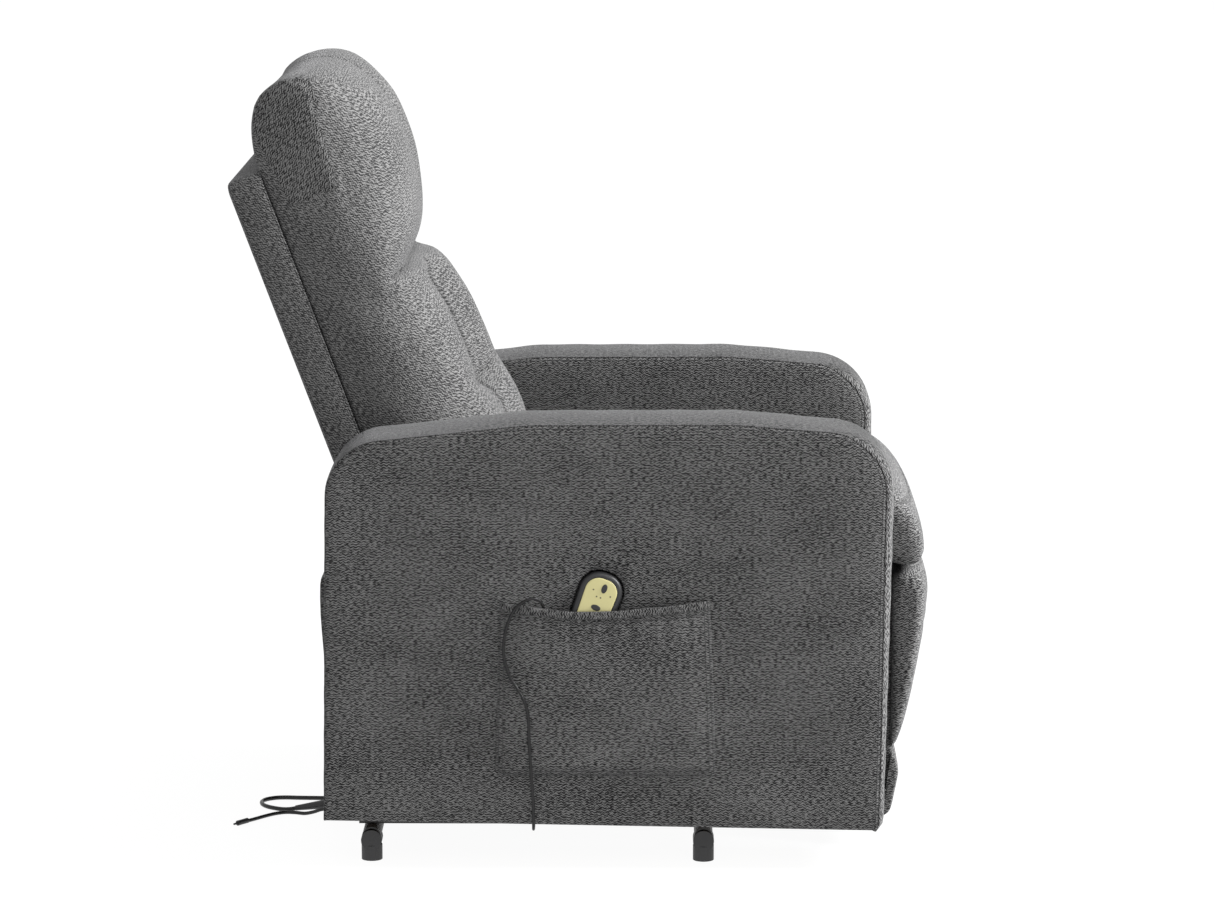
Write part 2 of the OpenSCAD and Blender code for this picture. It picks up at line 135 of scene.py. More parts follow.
# ------------------------------------------------------------------ materials
def new_mat(name):
    m = bpy.data.materials.new(name)
    m.use_nodes = True
    nt = m.node_tree
    nt.nodes.clear()
    out = nt.nodes.new("ShaderNodeOutputMaterial")
    bs = nt.nodes.new("ShaderNodeBsdfPrincipled")
    nt.links.new(bs.outputs[0], out.inputs[0])
    return m, nt, bs


def nd(nt, kind, **kw):
    n = nt.nodes.new(kind)
    for k, v in kw.items():
        if isinstance(k, str) and hasattr(n, k):
            setattr(n, k, v)
    return n


def math_node(nt, op, a, b=None, c=None, clamp=False):
    n = nt.nodes.new("ShaderNodeMath")
    n.operation = op
    n.use_clamp = clamp
    for i, v in enumerate((a, b, c)):
        if v is None:
            continue
        if hasattr(v, "is_output"):
            nt.links.new(v, n.inputs[i])
        else:
            n.inputs[i].default_value = v
    return n.outputs[0]


def noise_node(nt, vec, scale, detail=2.0, rough=0.5):
    n = nt.nodes.new("ShaderNodeTexNoise")
    n.inputs["Scale"].default_value = scale
    n.inputs["Detail"].default_value = detail
    n.inputs["Roughness"].default_value = rough
    nt.links.new(vec, n.inputs["Vector"])
    return n.outputs[0]


def combine(nt, x, y, z=0.0):
    n = nt.nodes.new("ShaderNodeCombineXYZ")
    for i, v in enumerate((x, y, z)):
        if hasattr(v, "is_output"):
            nt.links.new(v, n.inputs[i])
        else:
            n.inputs[i].default_value = v
    return n.outputs[0]


def mix_f(nt, fac, a, b):
    n = nt.nodes.new("ShaderNodeMix")
    n.data_type = "FLOAT"
    for s, v in ((n.inputs[0], fac), (n.inputs[2], a), (n.inputs[3], b)):
        if hasattr(v, "is_output"):
            nt.links.new(v, s)
        else:
            s.default_value = v
    return n.outputs[0]


def mix_col(nt, fac, a, b, blend="MIX"):
    n = nt.nodes.new("ShaderNodeMix")
    n.data_type = "RGBA"
    n.blend_type = blend
    for s, v in ((n.inputs[0], fac), (n.inputs[6], a), (n.inputs[7], b)):
        if hasattr(v, "is_output"):
            nt.links.new(v, s)
        else:
            s.default_value = v if not isinstance(v, tuple) else (*v, 1.0)[:4]
    return n.outputs[2]


def fabric(name, dark, light, along="x", pile=1.0, seed=0.0, turn=0.0, top_shade=0.0):
    """Heathered chenille weave: short flecks in zigzag rows. `along` is the way the flecks run."""
    m, nt, bs = new_mat(name)
    tc = nt.nodes.new("ShaderNodeTexCoord")
    pos = tc.outputs["Object"]
    if turn:
        rot = nt.nodes.new("ShaderNodeVectorRotate")
        rot.rotation_type = "Y_AXIS"
        rot.inputs["Angle"].default_value = turn
        nt.links.new(pos, rot.inputs["Vector"])
        pos = rot.outputs[0]
    sp = nt.nodes.new("ShaderNodeSeparateXYZ")
    nt.links.new(pos, sp.inputs[0])
    sn = nt.nodes.new("ShaderNodeSeparateXYZ")
    nt.links.new(tc.outputs["Normal"], sn.inputs[0])
    x, y, z = (math_node(nt, "MULTIPLY", sp.outputs[i], 1000.0) for i in range(3))
    ax, ay, az = (math_node(nt, "ABSOLUTE", sn.outputs[i]) for i in range(3))
    is_y = math_node(nt, "GREATER_THAN", ay, math_node(nt, "MULTIPLY", math_node(nt, "MAXIMUM", ax, az), 0.8))
    is_z = math_node(nt, "GREATER_THAN", az, math_node(nt, "MULTIPLY", ax, 0.9))
    if along == "x":      # sides: flecks level; fronts and tops: flecks across the chair
        u_y, v_y, u_z, v_z, u_x, v_x = x, z, y, x, y, z
    elif along == "z":    # strips whose weave runs along them
        u_y, v_y, u_z, v_z, u_x, v_x = z, x, x, y, z, y
    else:
        u_y, v_y, u_z, v_z, u_x, v_x = x, z, x, y, y, z
    long_y = math_node(nt, "MULTIPLY", y, 0.66)      # tops and fronts: longer flecks across the chair
    if u_x is y:
        u_x = long_y
    if u_z is y:
        u_z = long_y
    if v_x is y:
        v_x = long_y
    if v_z is y:
        v_z = long_y
    u = mix_f(nt, is_y, mix_f(nt, is_z, u_x, u_z), u_y)
    v = mix_f(nt, is_y, mix_f(nt, is_z, v_x, v_z), v_y)
    # the rows wander a little
    wob = noise_node(nt, combine(nt, math_node(nt, "MULTIPLY", u, 0.055), math_node(nt, "MULTIPLY", v, 0.035), seed), 1.0, 2.0)
    v = math_node(nt, "ADD", v, math_node(nt, "MULTIPLY", math_node(nt, "SUBTRACT", wob, 0.5), 3.0))
    tri = math_node(nt, "PINGPONG", u, 3.4)
    zig = math_node(nt, "SINE", math_node(nt, "MULTIPLY", math_node(nt, "ADD", v, math_node(nt, "MULTIPLY", tri, 0.72)), 2 * math.pi / 3.4))
    fleck = noise_node(nt, combine(nt, math_node(nt, "MULTIPLY", u, 0.19), math_node(nt, "MULTIPLY", v, 0.56), seed + 3.0), 1.0, 2.5, 0.62)
    fuzz = noise_node(nt, combine(nt, math_node(nt, "MULTIPLY", u, 0.55), math_node(nt, "MULTIPLY", v, 0.8), seed + 9.0), 1.0, 2.0, 0.6)
    blotch = noise_node(nt, combine(nt, math_node(nt, "MULTIPLY", u, 0.009), math_node(nt, "MULTIPLY", v, 0.016), seed + 17.0), 1.0, 3.0, 0.55)
    slub = noise_node(nt, combine(nt, math_node(nt, "MULTIPLY", u, 0.03), math_node(nt, "MULTIPLY", v, 0.35), seed + 23.0), 1.0, 2.0, 0.5)
    patch = noise_node(nt, combine(nt, math_node(nt, "MULTIPLY", u, 0.10), math_node(nt, "MULTIPLY", v, 0.14), seed + 31.0), 1.0, 1.0)
    h = math_node(nt, "MULTIPLY", zig, math_node(nt, "MULTIPLY", patch, 1.0))
    f1 = math_node(nt, "MULTIPLY", math_node(nt, "SUBTRACT", fleck, 0.5), 6.2)
    f1 = math_node(nt, "SUBTRACT", math_node(nt, "ADD", f1, 0.5, clamp=True), 0.5)
    f2 = math_node(nt, "MULTIPLY", math_node(nt, "SUBTRACT", fuzz, 0.5), 2.6)
    h = math_node(nt, "ADD", h, math_node(nt, "MULTIPLY", f1, 1.15))
    h = math_node(nt, "ADD", h, math_node(nt, "MULTIPLY", f2, 0.36))
    height = math_node(nt, "ADD", h, 0.5, clamp=True)
    tone = math_node(nt, "ADD", h, math_node(nt, "MULTIPLY", math_node(nt, "SUBTRACT", slub, 0.5), 0.55))
    tone = math_node(nt, "ADD", tone, math_node(nt, "MULTIPLY", math_node(nt, "SUBTRACT", blotch, 0.5), 0.85 * pile))
    tone = math_node(nt, "ADD", tone, 0.46, clamp=True)
    col = mix_col(nt, tone, dark, light)
    if top_shade:     # painted shade: the colour is darkened where the surface faces up
        up = math_node(nt, "MULTIPLY", math_node(nt, "SUBTRACT", sn.outputs[2], 0.25), 1.7, clamp=True)
        dn = math_node(nt, "SUBTRACT", 1.0, math_node(nt, "MULTIPLY", up, top_shade))
        cn = nt.nodes.new("ShaderNodeCombineColor")
        for i in range(3):
            nt.links.new(dn, cn.inputs[i])
        col = mix_col(nt, 1.0, col, cn.outputs[0], "MULTIPLY")
    # painted shade at seams, creases and gathers, carried on the mesh
    at = nt.nodes.new("ShaderNodeAttribute")
    at.attribute_name = "seam"
    shade = math_node(nt, "SUBTRACT", 1.0, math_node(nt, "MULTIPLY", at.outputs["Fac"], 0.62))
    sc = nt.nodes.new("ShaderNodeCombineColor")
    for i in range(3):
        nt.links.new(shade, sc.inputs[i])
    col = mix_col(nt, 1.0, col, sc.outputs[0], "MULTIPLY")
    nt.links.new(col, bs.inputs["Base Color"])
    rg = mix_f(nt, height, 0.98, 0.80)
    nt.links.new(rg, bs.inputs["Roughness"])
    bs.inputs["Specular IOR Level"].default_value = 0.15
    bs.inputs["Sheen Weight"].default_value = 0.16
    bs.inputs["Sheen Roughness"].default_value = 0.45
    bs.inputs["Sheen Tint"].default_value = (0.9, 0.9, 0.92, 1.0)
    bp = nt.nodes.new("ShaderNodeBump")
    bp.inputs["Strength"].default_value = 0.75
    bp.inputs["Distance"].default_value = 0.0010
    nt.links.new(height, bp.inputs["Height"])
    soft = noise_node(nt, pos, 22.0, 2.0, 0.5)
    bp2 = nt.nodes.new("ShaderNodeBump")
    bp2.inputs["Strength"].default_value = 0.35
    bp2.inputs["Distance"].default_value = 0.004
    nt.links.new(soft, bp2.inputs["Height"])
    nt.links.new(bp.outputs[0], bp2.inputs["Normal"])
    nt.links.new(bp2.outputs[0], bs.inputs["Normal"])
    return m


def plain(name, base, rough, metal=0.0, grain=(60.0, 0.0004), vary=0.12, spec=0.5, stretch=None):
    """Moulded plastic, painted or bare metal: fine grain, slight colour and gloss variation."""
    m, nt, bs = new_mat(name)
    tc = nt.nodes.new("ShaderNodeTexCoord")
    vec = tc.outputs["Object"]
    if stretch:
        mp = nt.nodes.new("ShaderNodeMapping")
        mp.inputs["Scale"].default_value = stretch
        nt.links.new(vec, mp.inputs["Vector"])
        vec = mp.outputs[0]
    big = noise_node(nt, vec, 14.0, 3.0, 0.6)
    fine = noise_node(nt, vec, grain[0] * 16, 2.0, 0.6)
    lo = tuple(c * (1 - vary) for c in base)
    hi = tuple(min(1.0, c * (1 + vary)) for c in base)
    nt.links.new(mix_col(nt, big, lo, hi), bs.inputs["Base Color"])
    bs.inputs["Metallic"].default_value = metal
    bs.inputs["Specular IOR Level"].default_value = spec
    nt.links.new(mix_f(nt, big, rough * 0.82, min(1.0, rough * 1.15)), bs.inputs["Roughness"])
    bp = nt.nodes.new("ShaderNodeBump")
    bp.inputs["Strength"].default_value = 0.4
    bp.inputs["Distance"].default_value = grain[1]
    nt.links.new(fine, bp.inputs["Height"])
    nt.links.new(bp.outputs[0], bs.inputs["Normal"])
    return m


def timber(name):
    m, nt, bs = new_mat(name)
    tc = nt.nodes.new("ShaderNodeTexCoord")
    mp = nt.nodes.new("ShaderNodeMapping")
    mp.inputs["Scale"].default_value = (4.0, 30.0, 30.0)
    nt.links.new(tc.outputs["Object"], mp.inputs["Vector"])
    g = noise_node(nt, mp.outputs[0], 3.0, 5.0, 0.6)
    nt.links.new(mix_col(nt, g, (0.30, 0.19, 0.095), (0.62, 0.45, 0.26)), bs.inputs["Base Color"])
    bs.inputs["Roughness"].default_value = 0.62
    bp = nt.nodes.new("ShaderNodeBump")
    bp.inputs["Strength"].default_value = 0.3
    bp.inputs["Distance"].default_value = 0.0008
    nt.links.new(g, bp.inputs["Height"])
    nt.links.new(bp.outputs[0], bs.inputs["Normal"])
    return m


DARK, LIGHT = (0.006, 0.006, 0.0064), (0.154, 0.153, 0.152)
M_SIDE = fabric("weave_level", DARK, LIGHT, "x", 1.0, 0.0)
# the arm strips carry painted shade on their upward-facing parts
M_BAND = fabric("weave_along", DARK, LIGHT, "z", 0.6, 5.0, top_shade=0.60)
M_BACK = fabric("weave_back", (0.017, 0.017, 0.0175), (0.139, 0.138, 0.137), "x", 0.9, 11.0, turn=-BA)
M_GUSSET = fabric("weave_gusset", tuple(0.86 * c for c in DARK), tuple(0.86 * c for c in LIGHT), "z", 0.9, 15.0, turn=-BA)
M_HEM = fabric("weave_hem", DARK, LIGHT, "z", 0.9, 19.0)
M_SEAM = fabric("weave_seam", (0.012, 0.012, 0.012), (0.05, 0.05, 0.05), "x", 0.4, 2.0)
M_THREAD = plain("thread", (0.030, 0.030, 0.031), 0.8, grain=(180.0, 0.0003))
# near-black cloth for the seat boards: painted shadow in the gaps round the seat
M_GAP_SHADOW = fabric("gap_shadow_cloth", (0.010, 0.010, 0.010), (0.022, 0.022, 0.022), "x", 0.4, 31.0)
M_STEEL = plain("powder_coat", (0.016, 0.016, 0.017), 0.46, grain=(90.0, 0.0003))
M_RAM = plain("ground_steel", (0.52, 0.53, 0.55), 0.26, metal=1.0, grain=(70.0, 0.0001), vary=0.06, stretch=(1, 6, 6))
M_SPRING = plain("spring_wire", (0.26, 0.27, 0.28), 0.38, metal=1.0, vary=0.2)
M_WOOD = timber("ply_and_softwood")
M_BLACK = plain("black_plastic", (0.014, 0.014, 0.015), 0.42, grain=(110.0, 0.0003))
M_GLIDE = plain("glide_plastic", (0.022, 0.022, 0.023), 0.55, grain=(80.0, 0.0005))
M_CREAM = plain("cream_overlay", (0.50, 0.46, 0.22), 0.40, grain=(120.0, 0.0001), vary=0.05)
M_CORD = plain("cord_sheath", (0.003, 0.003, 0.0033), 0.27, grain=(140.0, 0.0002), spec=0.4)
M_WEB = fabric("webbing", (0.015, 0.022, 0.019), (0.05, 0.075, 0.06), "x", 0.3, 41.0)
M_BRASS = plain("brass_pins", (0.62, 0.48, 0.22), 0.3, metal=1.0, vary=0.06)

SLOT_MAT = {"upholstery": M_SIDE, "black_steel": M_STEEL, "bright_steel": M_RAM, "spring_steel": M_SPRING, "timber": M_WOOD,
            "black_plastic": M_BLACK, "cream_plastic": M_CREAM, "webbing": M_WEB, "cord_sheath": M_CORD, "glide_plastic": M_GLIDE}
for sp in frame["record"]["subparts"]:
    o = NODES[sp["node"]]
    o.data.materials.clear()
    o.data.materials.append(SLOT_MAT[sp["material_slot"]])


# ------------------------------------------------------------------ mesh helpers
def make(name, verts, faces, mat, body, smooth=True):
    me = bpy.data.meshes.new(name)
    me.from_pydata([(a * 0.001, b * 0.001, c * 0.001) for a, b, c in verts], [], faces)
    me.validate()
    bm = bmesh.new()
    bm.from_mesh(me)
    bmesh.ops.recalc_face_normals(bm, faces=bm.faces)
    bm.to_mesh(me)
    bm.free()
    for p in me.polygons:
        p.use_smooth = smooth
    me.materials.append(mat)
    ob = bpy.data.objects.new(name, me)
    COLL.objects.link(ob)
    if body:
        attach(ob, body)
    return ob


def skin(sections, cap=True):
    """Closed skin over loops of equal count. Returns verts, faces."""
    n = len(sections[0])
    verts = [p for s in sections for p in s]
    faces = []
    for i in range(len(sections) - 1):
        for k in range(n):
            a, b = i * n + k, i * n + (k + 1) % n
            faces.append((a, b, b + n, a + n))
    if cap:
        for i, flip in ((0, True), (len(sections) - 1, False)):
            ring = sections[i]
            c = tuple(sum(p[d] for p in ring) / n for d in range(3))
            ci = len(verts)
            verts.append(c)
            for k in range(n):
                a, b = i * n + k, i * n + (k + 1) % n
                faces.append((ci, b, a) if flip else (ci, a, b))
    return verts, faces


def apply_mods(ob):
    dg = bpy.context.evaluated_depsgraph_get()
    me = bpy.data.meshes.new_from_object(ob.evaluated_get(dg), depsgraph=dg)
    old = ob.data
    ob.modifiers.clear()
    ob.data = me
    bpy.data.meshes.remove(old)
    for p in me.polygons:
        p.use_smooth = True


def remesh(ob, voxel):
    m = ob.modifiers.new("r", "REMESH")
    m.mode = "VOXEL"
    m.voxel_size = voxel
    m.use_smooth_shade = True
    apply_mods(ob)


def relax(ob, factor, times):
    m = ob.modifiers.new("s", "SMOOTH")
    m.factor = factor
    m.iterations = times
    apply_mods(ob)


def puff(ob, pressure, cap, pin, frames=20):
    """Fills a fabric shell with air while its sewn lines are held, then keeps the result."""
    me = ob.data
    rest = [v.co.copy() for v in me.vertices]
    g = ob.vertex_groups.new(name="held")
    for i, c in enumerate(rest):
        w = pin(c * 1000)
        if w > 0.02:
            g.add([i], w, "REPLACE")
    m = ob.modifiers.new("cloth", "CLOTH")
    s = m.settings
    s.quality = 5
    s.mass = 0.3
    s.tension_stiffness = 12
    s.compression_stiffness = 6
    s.shear_stiffness = 4
    s.bending_stiffness = 0.4
    s.use_pressure = True
    s.uniform_pressure_force = pressure
    s.effector_weights.gravity = 0
    s.vertex_group_mass = "held"
    s.pin_stiffness = 4
    m.collision_settings.use_collision = False
    m.collision_settings.use_self_collision = False
    SCENE.frame_start, SCENE.frame_end = 1, frames
    for f in range(1, frames + 1):
        SCENE.frame_set(f)
    dg = bpy.context.evaluated_depsgraph_get()
    ev = ob.evaluated_get(dg).to_mesh()
    new = [v.co.copy() for v in ev.vertices]
    ob.evaluated_get(dg).to_mesh_clear()
    ob.modifiers.clear()
    ob.vertex_groups.clear()
    for i, v in enumerate(me.vertices):
        d = new[i] - rest[i]
        l = d.length
        if l > cap:
            d *= cap / l
        v.co = rest[i] + d
    SCENE.frame_set(1)


def subdivide(ob, levels=1):
    m = ob.modifiers.new("sub", "SUBSURF")
    m.levels = m.render_levels = levels
    apply_mods(ob)


# point attribute that holds painted shade at seams and creases
def seam_shade_attr(ob):
    a = ob.data.attributes.get("seam")
    return a if a else ob.data.attributes.new("seam", "FLOAT", "POINT")


def on_surface(ob, pts):
    """Points (mm) pushed to the nearest place on the mesh; also their normals."""
    bm = bmesh.new()
    bm.from_mesh(ob.data)
    tree = BVHTree.FromBMesh(bm)
    out = []
    for p in pts:
        co, no, _, _ = tree.find_nearest(Vector(p) * 0.001)
        out.append((co.copy(), no.copy()))
    bm.free()
    return out


def carve(ob, pts, width, depth, shade=1.0, shade_w=None):
    """Sinks a sewn line into the mesh along points (mm) and paints shade along it for the material."""
    hits = on_surface(ob, resample(pts, 3.0))
    kd = KDTree(len(hits))
    for i, (c, _) in enumerate(hits):
        kd.insert(c, i)
    kd.balance()
    at = seam_shade_attr(ob)
    me = ob.data
    sw = (shade_w or width) * 0.001
    vals = [0.0] * len(me.vertices)
    at.data.foreach_get("value", vals)
    normals = [v.normal.copy() for v in me.vertices]
    for v in me.vertices:
        _, _, d = kd.find(v.co)
        if d < width * 0.004:
            v.co -= normals[v.index] * (depth * 0.001 * math.exp(-(d / (width * 0.001)) ** 2))
        if d < sw * 3:
            vals[v.index] = max(vals[v.index], shade * math.exp(-(d / sw) ** 2))
    at.data.foreach_set("value", vals)
    return [tuple(c * 1000) for c, _ in hits]


def thread(name, ob, pts, body, radius=0.55, lift=0.15, mat=None):
    """A sewn line: a fine raised thread lying on the surface."""
    hits = on_surface(ob, resample(pts, 4.0))
    cu = bpy.data.curves.new(name, "CURVE")
    cu.dimensions = "3D"
    cu.bevel_depth = radius * 0.001
    cu.bevel_resolution = 1
    s = cu.splines.new("POLY")
    s.points.add(len(hits) - 1)
    for i, (c, n) in enumerate(hits):
        p = c + n * (lift * 0.001)
        s.points[i].co = (*p, 1.0)
    cu.materials.append(mat or M_THREAD)
    o = bpy.data.objects.new(name, cu)
    COLL.objects.link(o)
    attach(o, body)
    return o


def tube(name, pts, radius, mat, body, res=4):
    cu = bpy.data.curves.new(name, "CURVE")
    cu.dimensions = "3D"
    cu.bevel_depth = radius * 0.001
    cu.bevel_resolution = res
    cu.use_fill_caps = True
    s = cu.splines.new("POLY")
    s.points.add(len(pts) - 1)
    for i, p in enumerate(pts):
        s.points[i].co = (p[0] * 0.001, p[1] * 0.001, p[2] * 0.001, 1.0)
    s.use_smooth = True
    cu.materials.append(mat)
    o = bpy.data.objects.new(name, cu)
    COLL.objects.link(o)
    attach(o, body)
    return o


# ------------------------------------------------------------------ camera
cam = bpy.data.cameras.new("camera")
cam.sensor_width = 36.0
cam.lens = 131.19
cam.clip_end = 100
cam_ob = bpy.data.objects.new("camera", cam)
COLL.objects.link(cam_ob)
az, el, dist = math.radians(0.55), math.radians(9.81), 6.144
target = Vector((0.030, 0.0, 0.497))
cam_ob.location = target + dist * Vector((math.cos(el) * math.sin(az), -math.cos(el) * math.cos(az), math.sin(el)))
cam_ob.rotation_euler = (target - cam_ob.location).to_track_quat("-Z", "Y").to_euler()
SCENE.camera = cam_ob

# ------------------------------------------------------------------ cords
handset_route = [(-20.8, -364.5, 250.8), (-25.5, -364.5, 238), (-32, -364.5, 227.5), (-41, -364.5, 221), (-50, -364.5, 224), (-55.5, -364.5, 234), (-57.5, -364.5, 249), (-55, -364.6, 280),
                 (-49, -365, 325), (-49, -366, 350), (-52, -368, 363), (-58, -371.5, 369), (-67, -375, 370), (-77, -376.2, 366), (-87, -376.2, 357), (-94, -376.2, 344), (-99, -376.2, 328), (-102, -376.2, 311),
                 (-102, -376.2, 294), (-98, -376.2, 278), (-92, -376.2, 262), (-82, -376.2, 246), (-74, -376.2, 230), (-70, -376.2, 210), (-69, -376.2, 180), (-67, -376.2, 145), (-66, -376, 128), (-65, -372.5, 112),
                 (-64, -366, 96), (-64, -363.4, 80), (-64, -363.4, 66), (-64, -361.5, 58), (-64, -356, 54.5), (-64, -344, 54.5), (-64, -338.5, 58), (-64, -336.5, 66), (-64, -331, 72), (-64, -318, 75.5),
                 (-64, -300, 77), (-64, -282, 75.5), (-64, -269, 72), (-64, -263.5, 66), (-64, -261.5, 58), (-65, -256, 54.5), (-67, -244, 54.5), (-68, -238.5, 58), (-70, -236.5, 68), (-74, -232, 90), (-79, -229, 130),
                 (-80, -229, 205), (-80, -224, 226), (-80, -214, 238), (-80, -202, 243), (-80, -198, 255)]
hp = resample(catmull(handset_route, 6), 3.0)
handset_cord = tube("handset_lead", hp, 2.0, M_CORD, "chassis", 3)
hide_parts("handset_cord")

mains_route = [(-401, -58.8, 7), (-410, -56.5, 4.6), (-421, -53, 3.2), (-433, -47.5, 3.2), (-445, -38, 3.2), (-453, -25, 3.2), (-455, -9, 3.2), (-449, 4, 3.2), (-437, 12, 3.2), (-422, 14, 3.2), (-395, 12, 3.2),
               (-330, 12, 3.2), (-250, 30, 3.2), (-170, 64, 3.2), (-130, 78, 3.2)]
COIL = (-100.0, 120.0)


def coil_point(t):
    """Three columns of two turns and a bit, wound from the outside in, then out over the top."""
    zl, zh = 3.2, 15.6
    if t < 2:
        r, z = 39.0, zl + 6.2 * t
    elif t < 2.2:
        r, z = 39 - 6 * (t - 2) / 0.2, zh
    elif t < 4.2:
        r, z = 33.0, zh - 6.2 * (t - 2.2)
    elif t < 4.4:
        r, z = 33 - 6 * (t - 4.2) / 0.2, zl
    else:
        r, z = 27.0, zl + 6.2 * (t - 4.4)
    a = math.radians(-90 + 360 * t)
    return (COIL[0] + r * math.cos(a), COIL[1] + r * math.sin(a), z)


coil = [coil_point(i / 36) for i in range(1, 36 * 6 + 1)]
for t, r, z in ((6.06, 28.5, 14.2), (6.12, 32.5, 16.2), (6.17, 38.0, 16.8), (6.21, 43.5, 16.0)):
    a = math.radians(-90 + 360 * t)
    coil.append((COIL[0] + r * math.cos(a), COIL[1] + r * math.sin(a), z))
tail = [(-52.5, 121, 12.5), (-50, 132, 8.4), (-48.3, 144, 5.4), (-46, 156, 4.8), (-42.5, 167, 6.6), (-39.5, 176, 8)]
mp_ = resample(catmull(mains_route + coil + tail, 4), 3.0)
mains = tube("mains_lead", mp_, 3.0, M_CORD, "base", 3)
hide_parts("mains_cord", "mains_coil")

backup_route = [(-354, -93, 14.4), (-366, -88, 12), (-377, -82, 7), (-390, -75, 3), (-404, -69, 2.7), (-418, -68, 2.7), (-432, -76, 2.7), (-445, -90, 2.7), (-457, -105, 2.7), (-468, -119, 3)]
bp_ = resample(catmull(backup_route, 6), 2.5)
backup = tube("battery_lead", bp_, 2.5, M_CORD, "base", 3)
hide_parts("backup_lead")


# ------------------------------------------------------------------ arms
ARM = [(-342.5, 66.5, 0), (-336.0, 571, 80), (-70, 599, 300), (200, 600, 300), (411, 584, 80), (400.0, 62, 10), (391.0, 50.5, 0)]


def even_loop(loop, n):
    """n evenly spaced points round a closed 2-D loop, from its first point."""
    pts = loop + [loop[0]]
    acc = [0.0]
    for a, b in zip(pts, pts[1:]):
        acc.append(acc[-1] + math.dist(a, b))
    out, j = [], 0
    for i in range(n):
        s = acc[-1] * i / n
        while acc[j + 1] < s:
            j += 1
        w = (s - acc[j]) / ((acc[j + 1] - acc[j]) or 1)
        out.append((pts[j][0] + (pts[j + 1][0] - pts[j][0]) * w, pts[j][1] + (pts[j + 1][1] - pts[j][1]) * w))
    return out


def even_open(pts, step):
    acc = [0.0]
    for a, b in zip(pts, pts[1:]):
        acc.append(acc[-1] + math.dist(a, b))
    n = max(2, round(acc[-1] / step))
    out, j = [], 0
    for i in range(n + 1):
        d = acc[-1] * i / n
        while j < len(acc) - 2 and acc[j + 1] < d:
            j += 1
        w = (d - acc[j]) / ((acc[j + 1] - acc[j]) or 1)
        out.append((pts[j][0] + (pts[j + 1][0] - pts[j][0]) * w, pts[j][1] + (pts[j + 1][1] - pts[j][1]) * w))
    return out


def arm_path():
    """The arm's outline from the rear bottom corner over the top to the front bottom corner, with its outward normals."""
    loop = rounded(ARM, 24)
    start = min(range(len(loop)), key=lambda k: math.dist(loop[k], (-342.5, 69)))
    loop = even_open(loop[start:] + loop[:start], 7.0)
    nrm = []
    for k in range(len(loop)):
        a, b = loop[max(0, k - 2)], loop[min(len(loop) - 1, k + 2)]
        t = unit(sub(b, a))
        nrm.append((-t[1], t[0]))
    return loop, nrm


PATH, NORM = arm_path()


def inset(x, z):
    """How far inside the outline the strip is sewn: nothing at the rear, little on top, a finger's width in front."""
    if x > 300:
        return 1.3 + (8.9 * smooth01((x - 325) / 62)) * (0.62 + 0.38 * smooth01((z - 120) / 360))
    return 1.3 - 0.6 * smooth01((-230 - x) / 90)


def crown(x, z):
    top = smooth01((x + 300) / 240) * smooth01((360 - x) / 120) * smooth01((z - 520) / 60)
    return 0.9 + 5.3 * top


def put_seam_shade(ob, vals):
    at = seam_shade_attr(ob)
    for i, v in vals.items():
        at.data[i].value = v


def arm_panel(name, node, side, outer, body="chassis"):
    """A padded panel sewn into the strip that runs round the arm."""
    y_face = 360 if outer else 240
    y_back = 341 if outer else 259
    s = 1 if outer else -1
    loop = [(x - nx * inset(x, z), z - nz * inset(x, z)) for (x, z), (nx, nz) in zip(PATH, NORM)]
    lo = [(loop[-1][0] + (loop[0][0] - loop[-1][0]) * k / 100, loop[-1][1] + (loop[0][1] - loop[-1][1]) * k / 100) for k in range(1, 100)]
    base = loop + lo
    cx, cz = 30, 330
    prof = [(0.0, y_back), (0.0, y_face - s * 7), (0.0, y_face - s * 2.2), (0.5, y_face - s * 1.2), (1.6, y_face - s * 0.3), (3.5, y_face + s * 0.5), (6.5, y_face + s * 1.2), (12, y_face + s * 1.8), (20, y_face + s * 2.2), (34, y_face + s * 2.4),
            (60, y_face + s * 2.5), (95, y_face + s * 2.5), (135, y_face + s * 2.5), (175, y_face + s * 2.5), (215, y_face + s * 2.5)]
    # painted shade in the seam groove round the panel's edge, weaker along the top
    shade = [0, 0.3, 0.75, 0.75, 0.42, 0.14, 0.03] + [0] * 12
    sections, vals = [], {}
    half_h = 265.0
    for q, (d, y) in enumerate(prof):
        f = 1 - d / half_h
        ring = []
        for m, (x, z) in enumerate(base):
            fx = 1 - d / 360.0
            px, pz = cx + (x - cx) * fx, cz + (z - cz) * f
            w = min(1.0, d / 40.0)
            wave = 1.1 * math.sin(px * 0.013 + 1.3 + side) * math.sin(pz * 0.011 + 0.4) + 0.6 * math.sin(px * 0.031 + pz * 0.017)
            low = 2.6 * smooth01((d - 2) / 8.0) if m >= len(loop) else 0.0
            ring.append((px, side * (y + s * w * wave - s * 0.0 * low), pz))
            if shade[q] and m < len(loop):
                vals[q * len(base) + m] = shade[q] * (0.55 if pz > 540 else 0.8)
        sections.append(ring)
    v, f = skin(sections)
    ob = make(name, v, f, M_SIDE, body)
    put_seam_shade(ob, vals)
    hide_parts(node)
    return ob


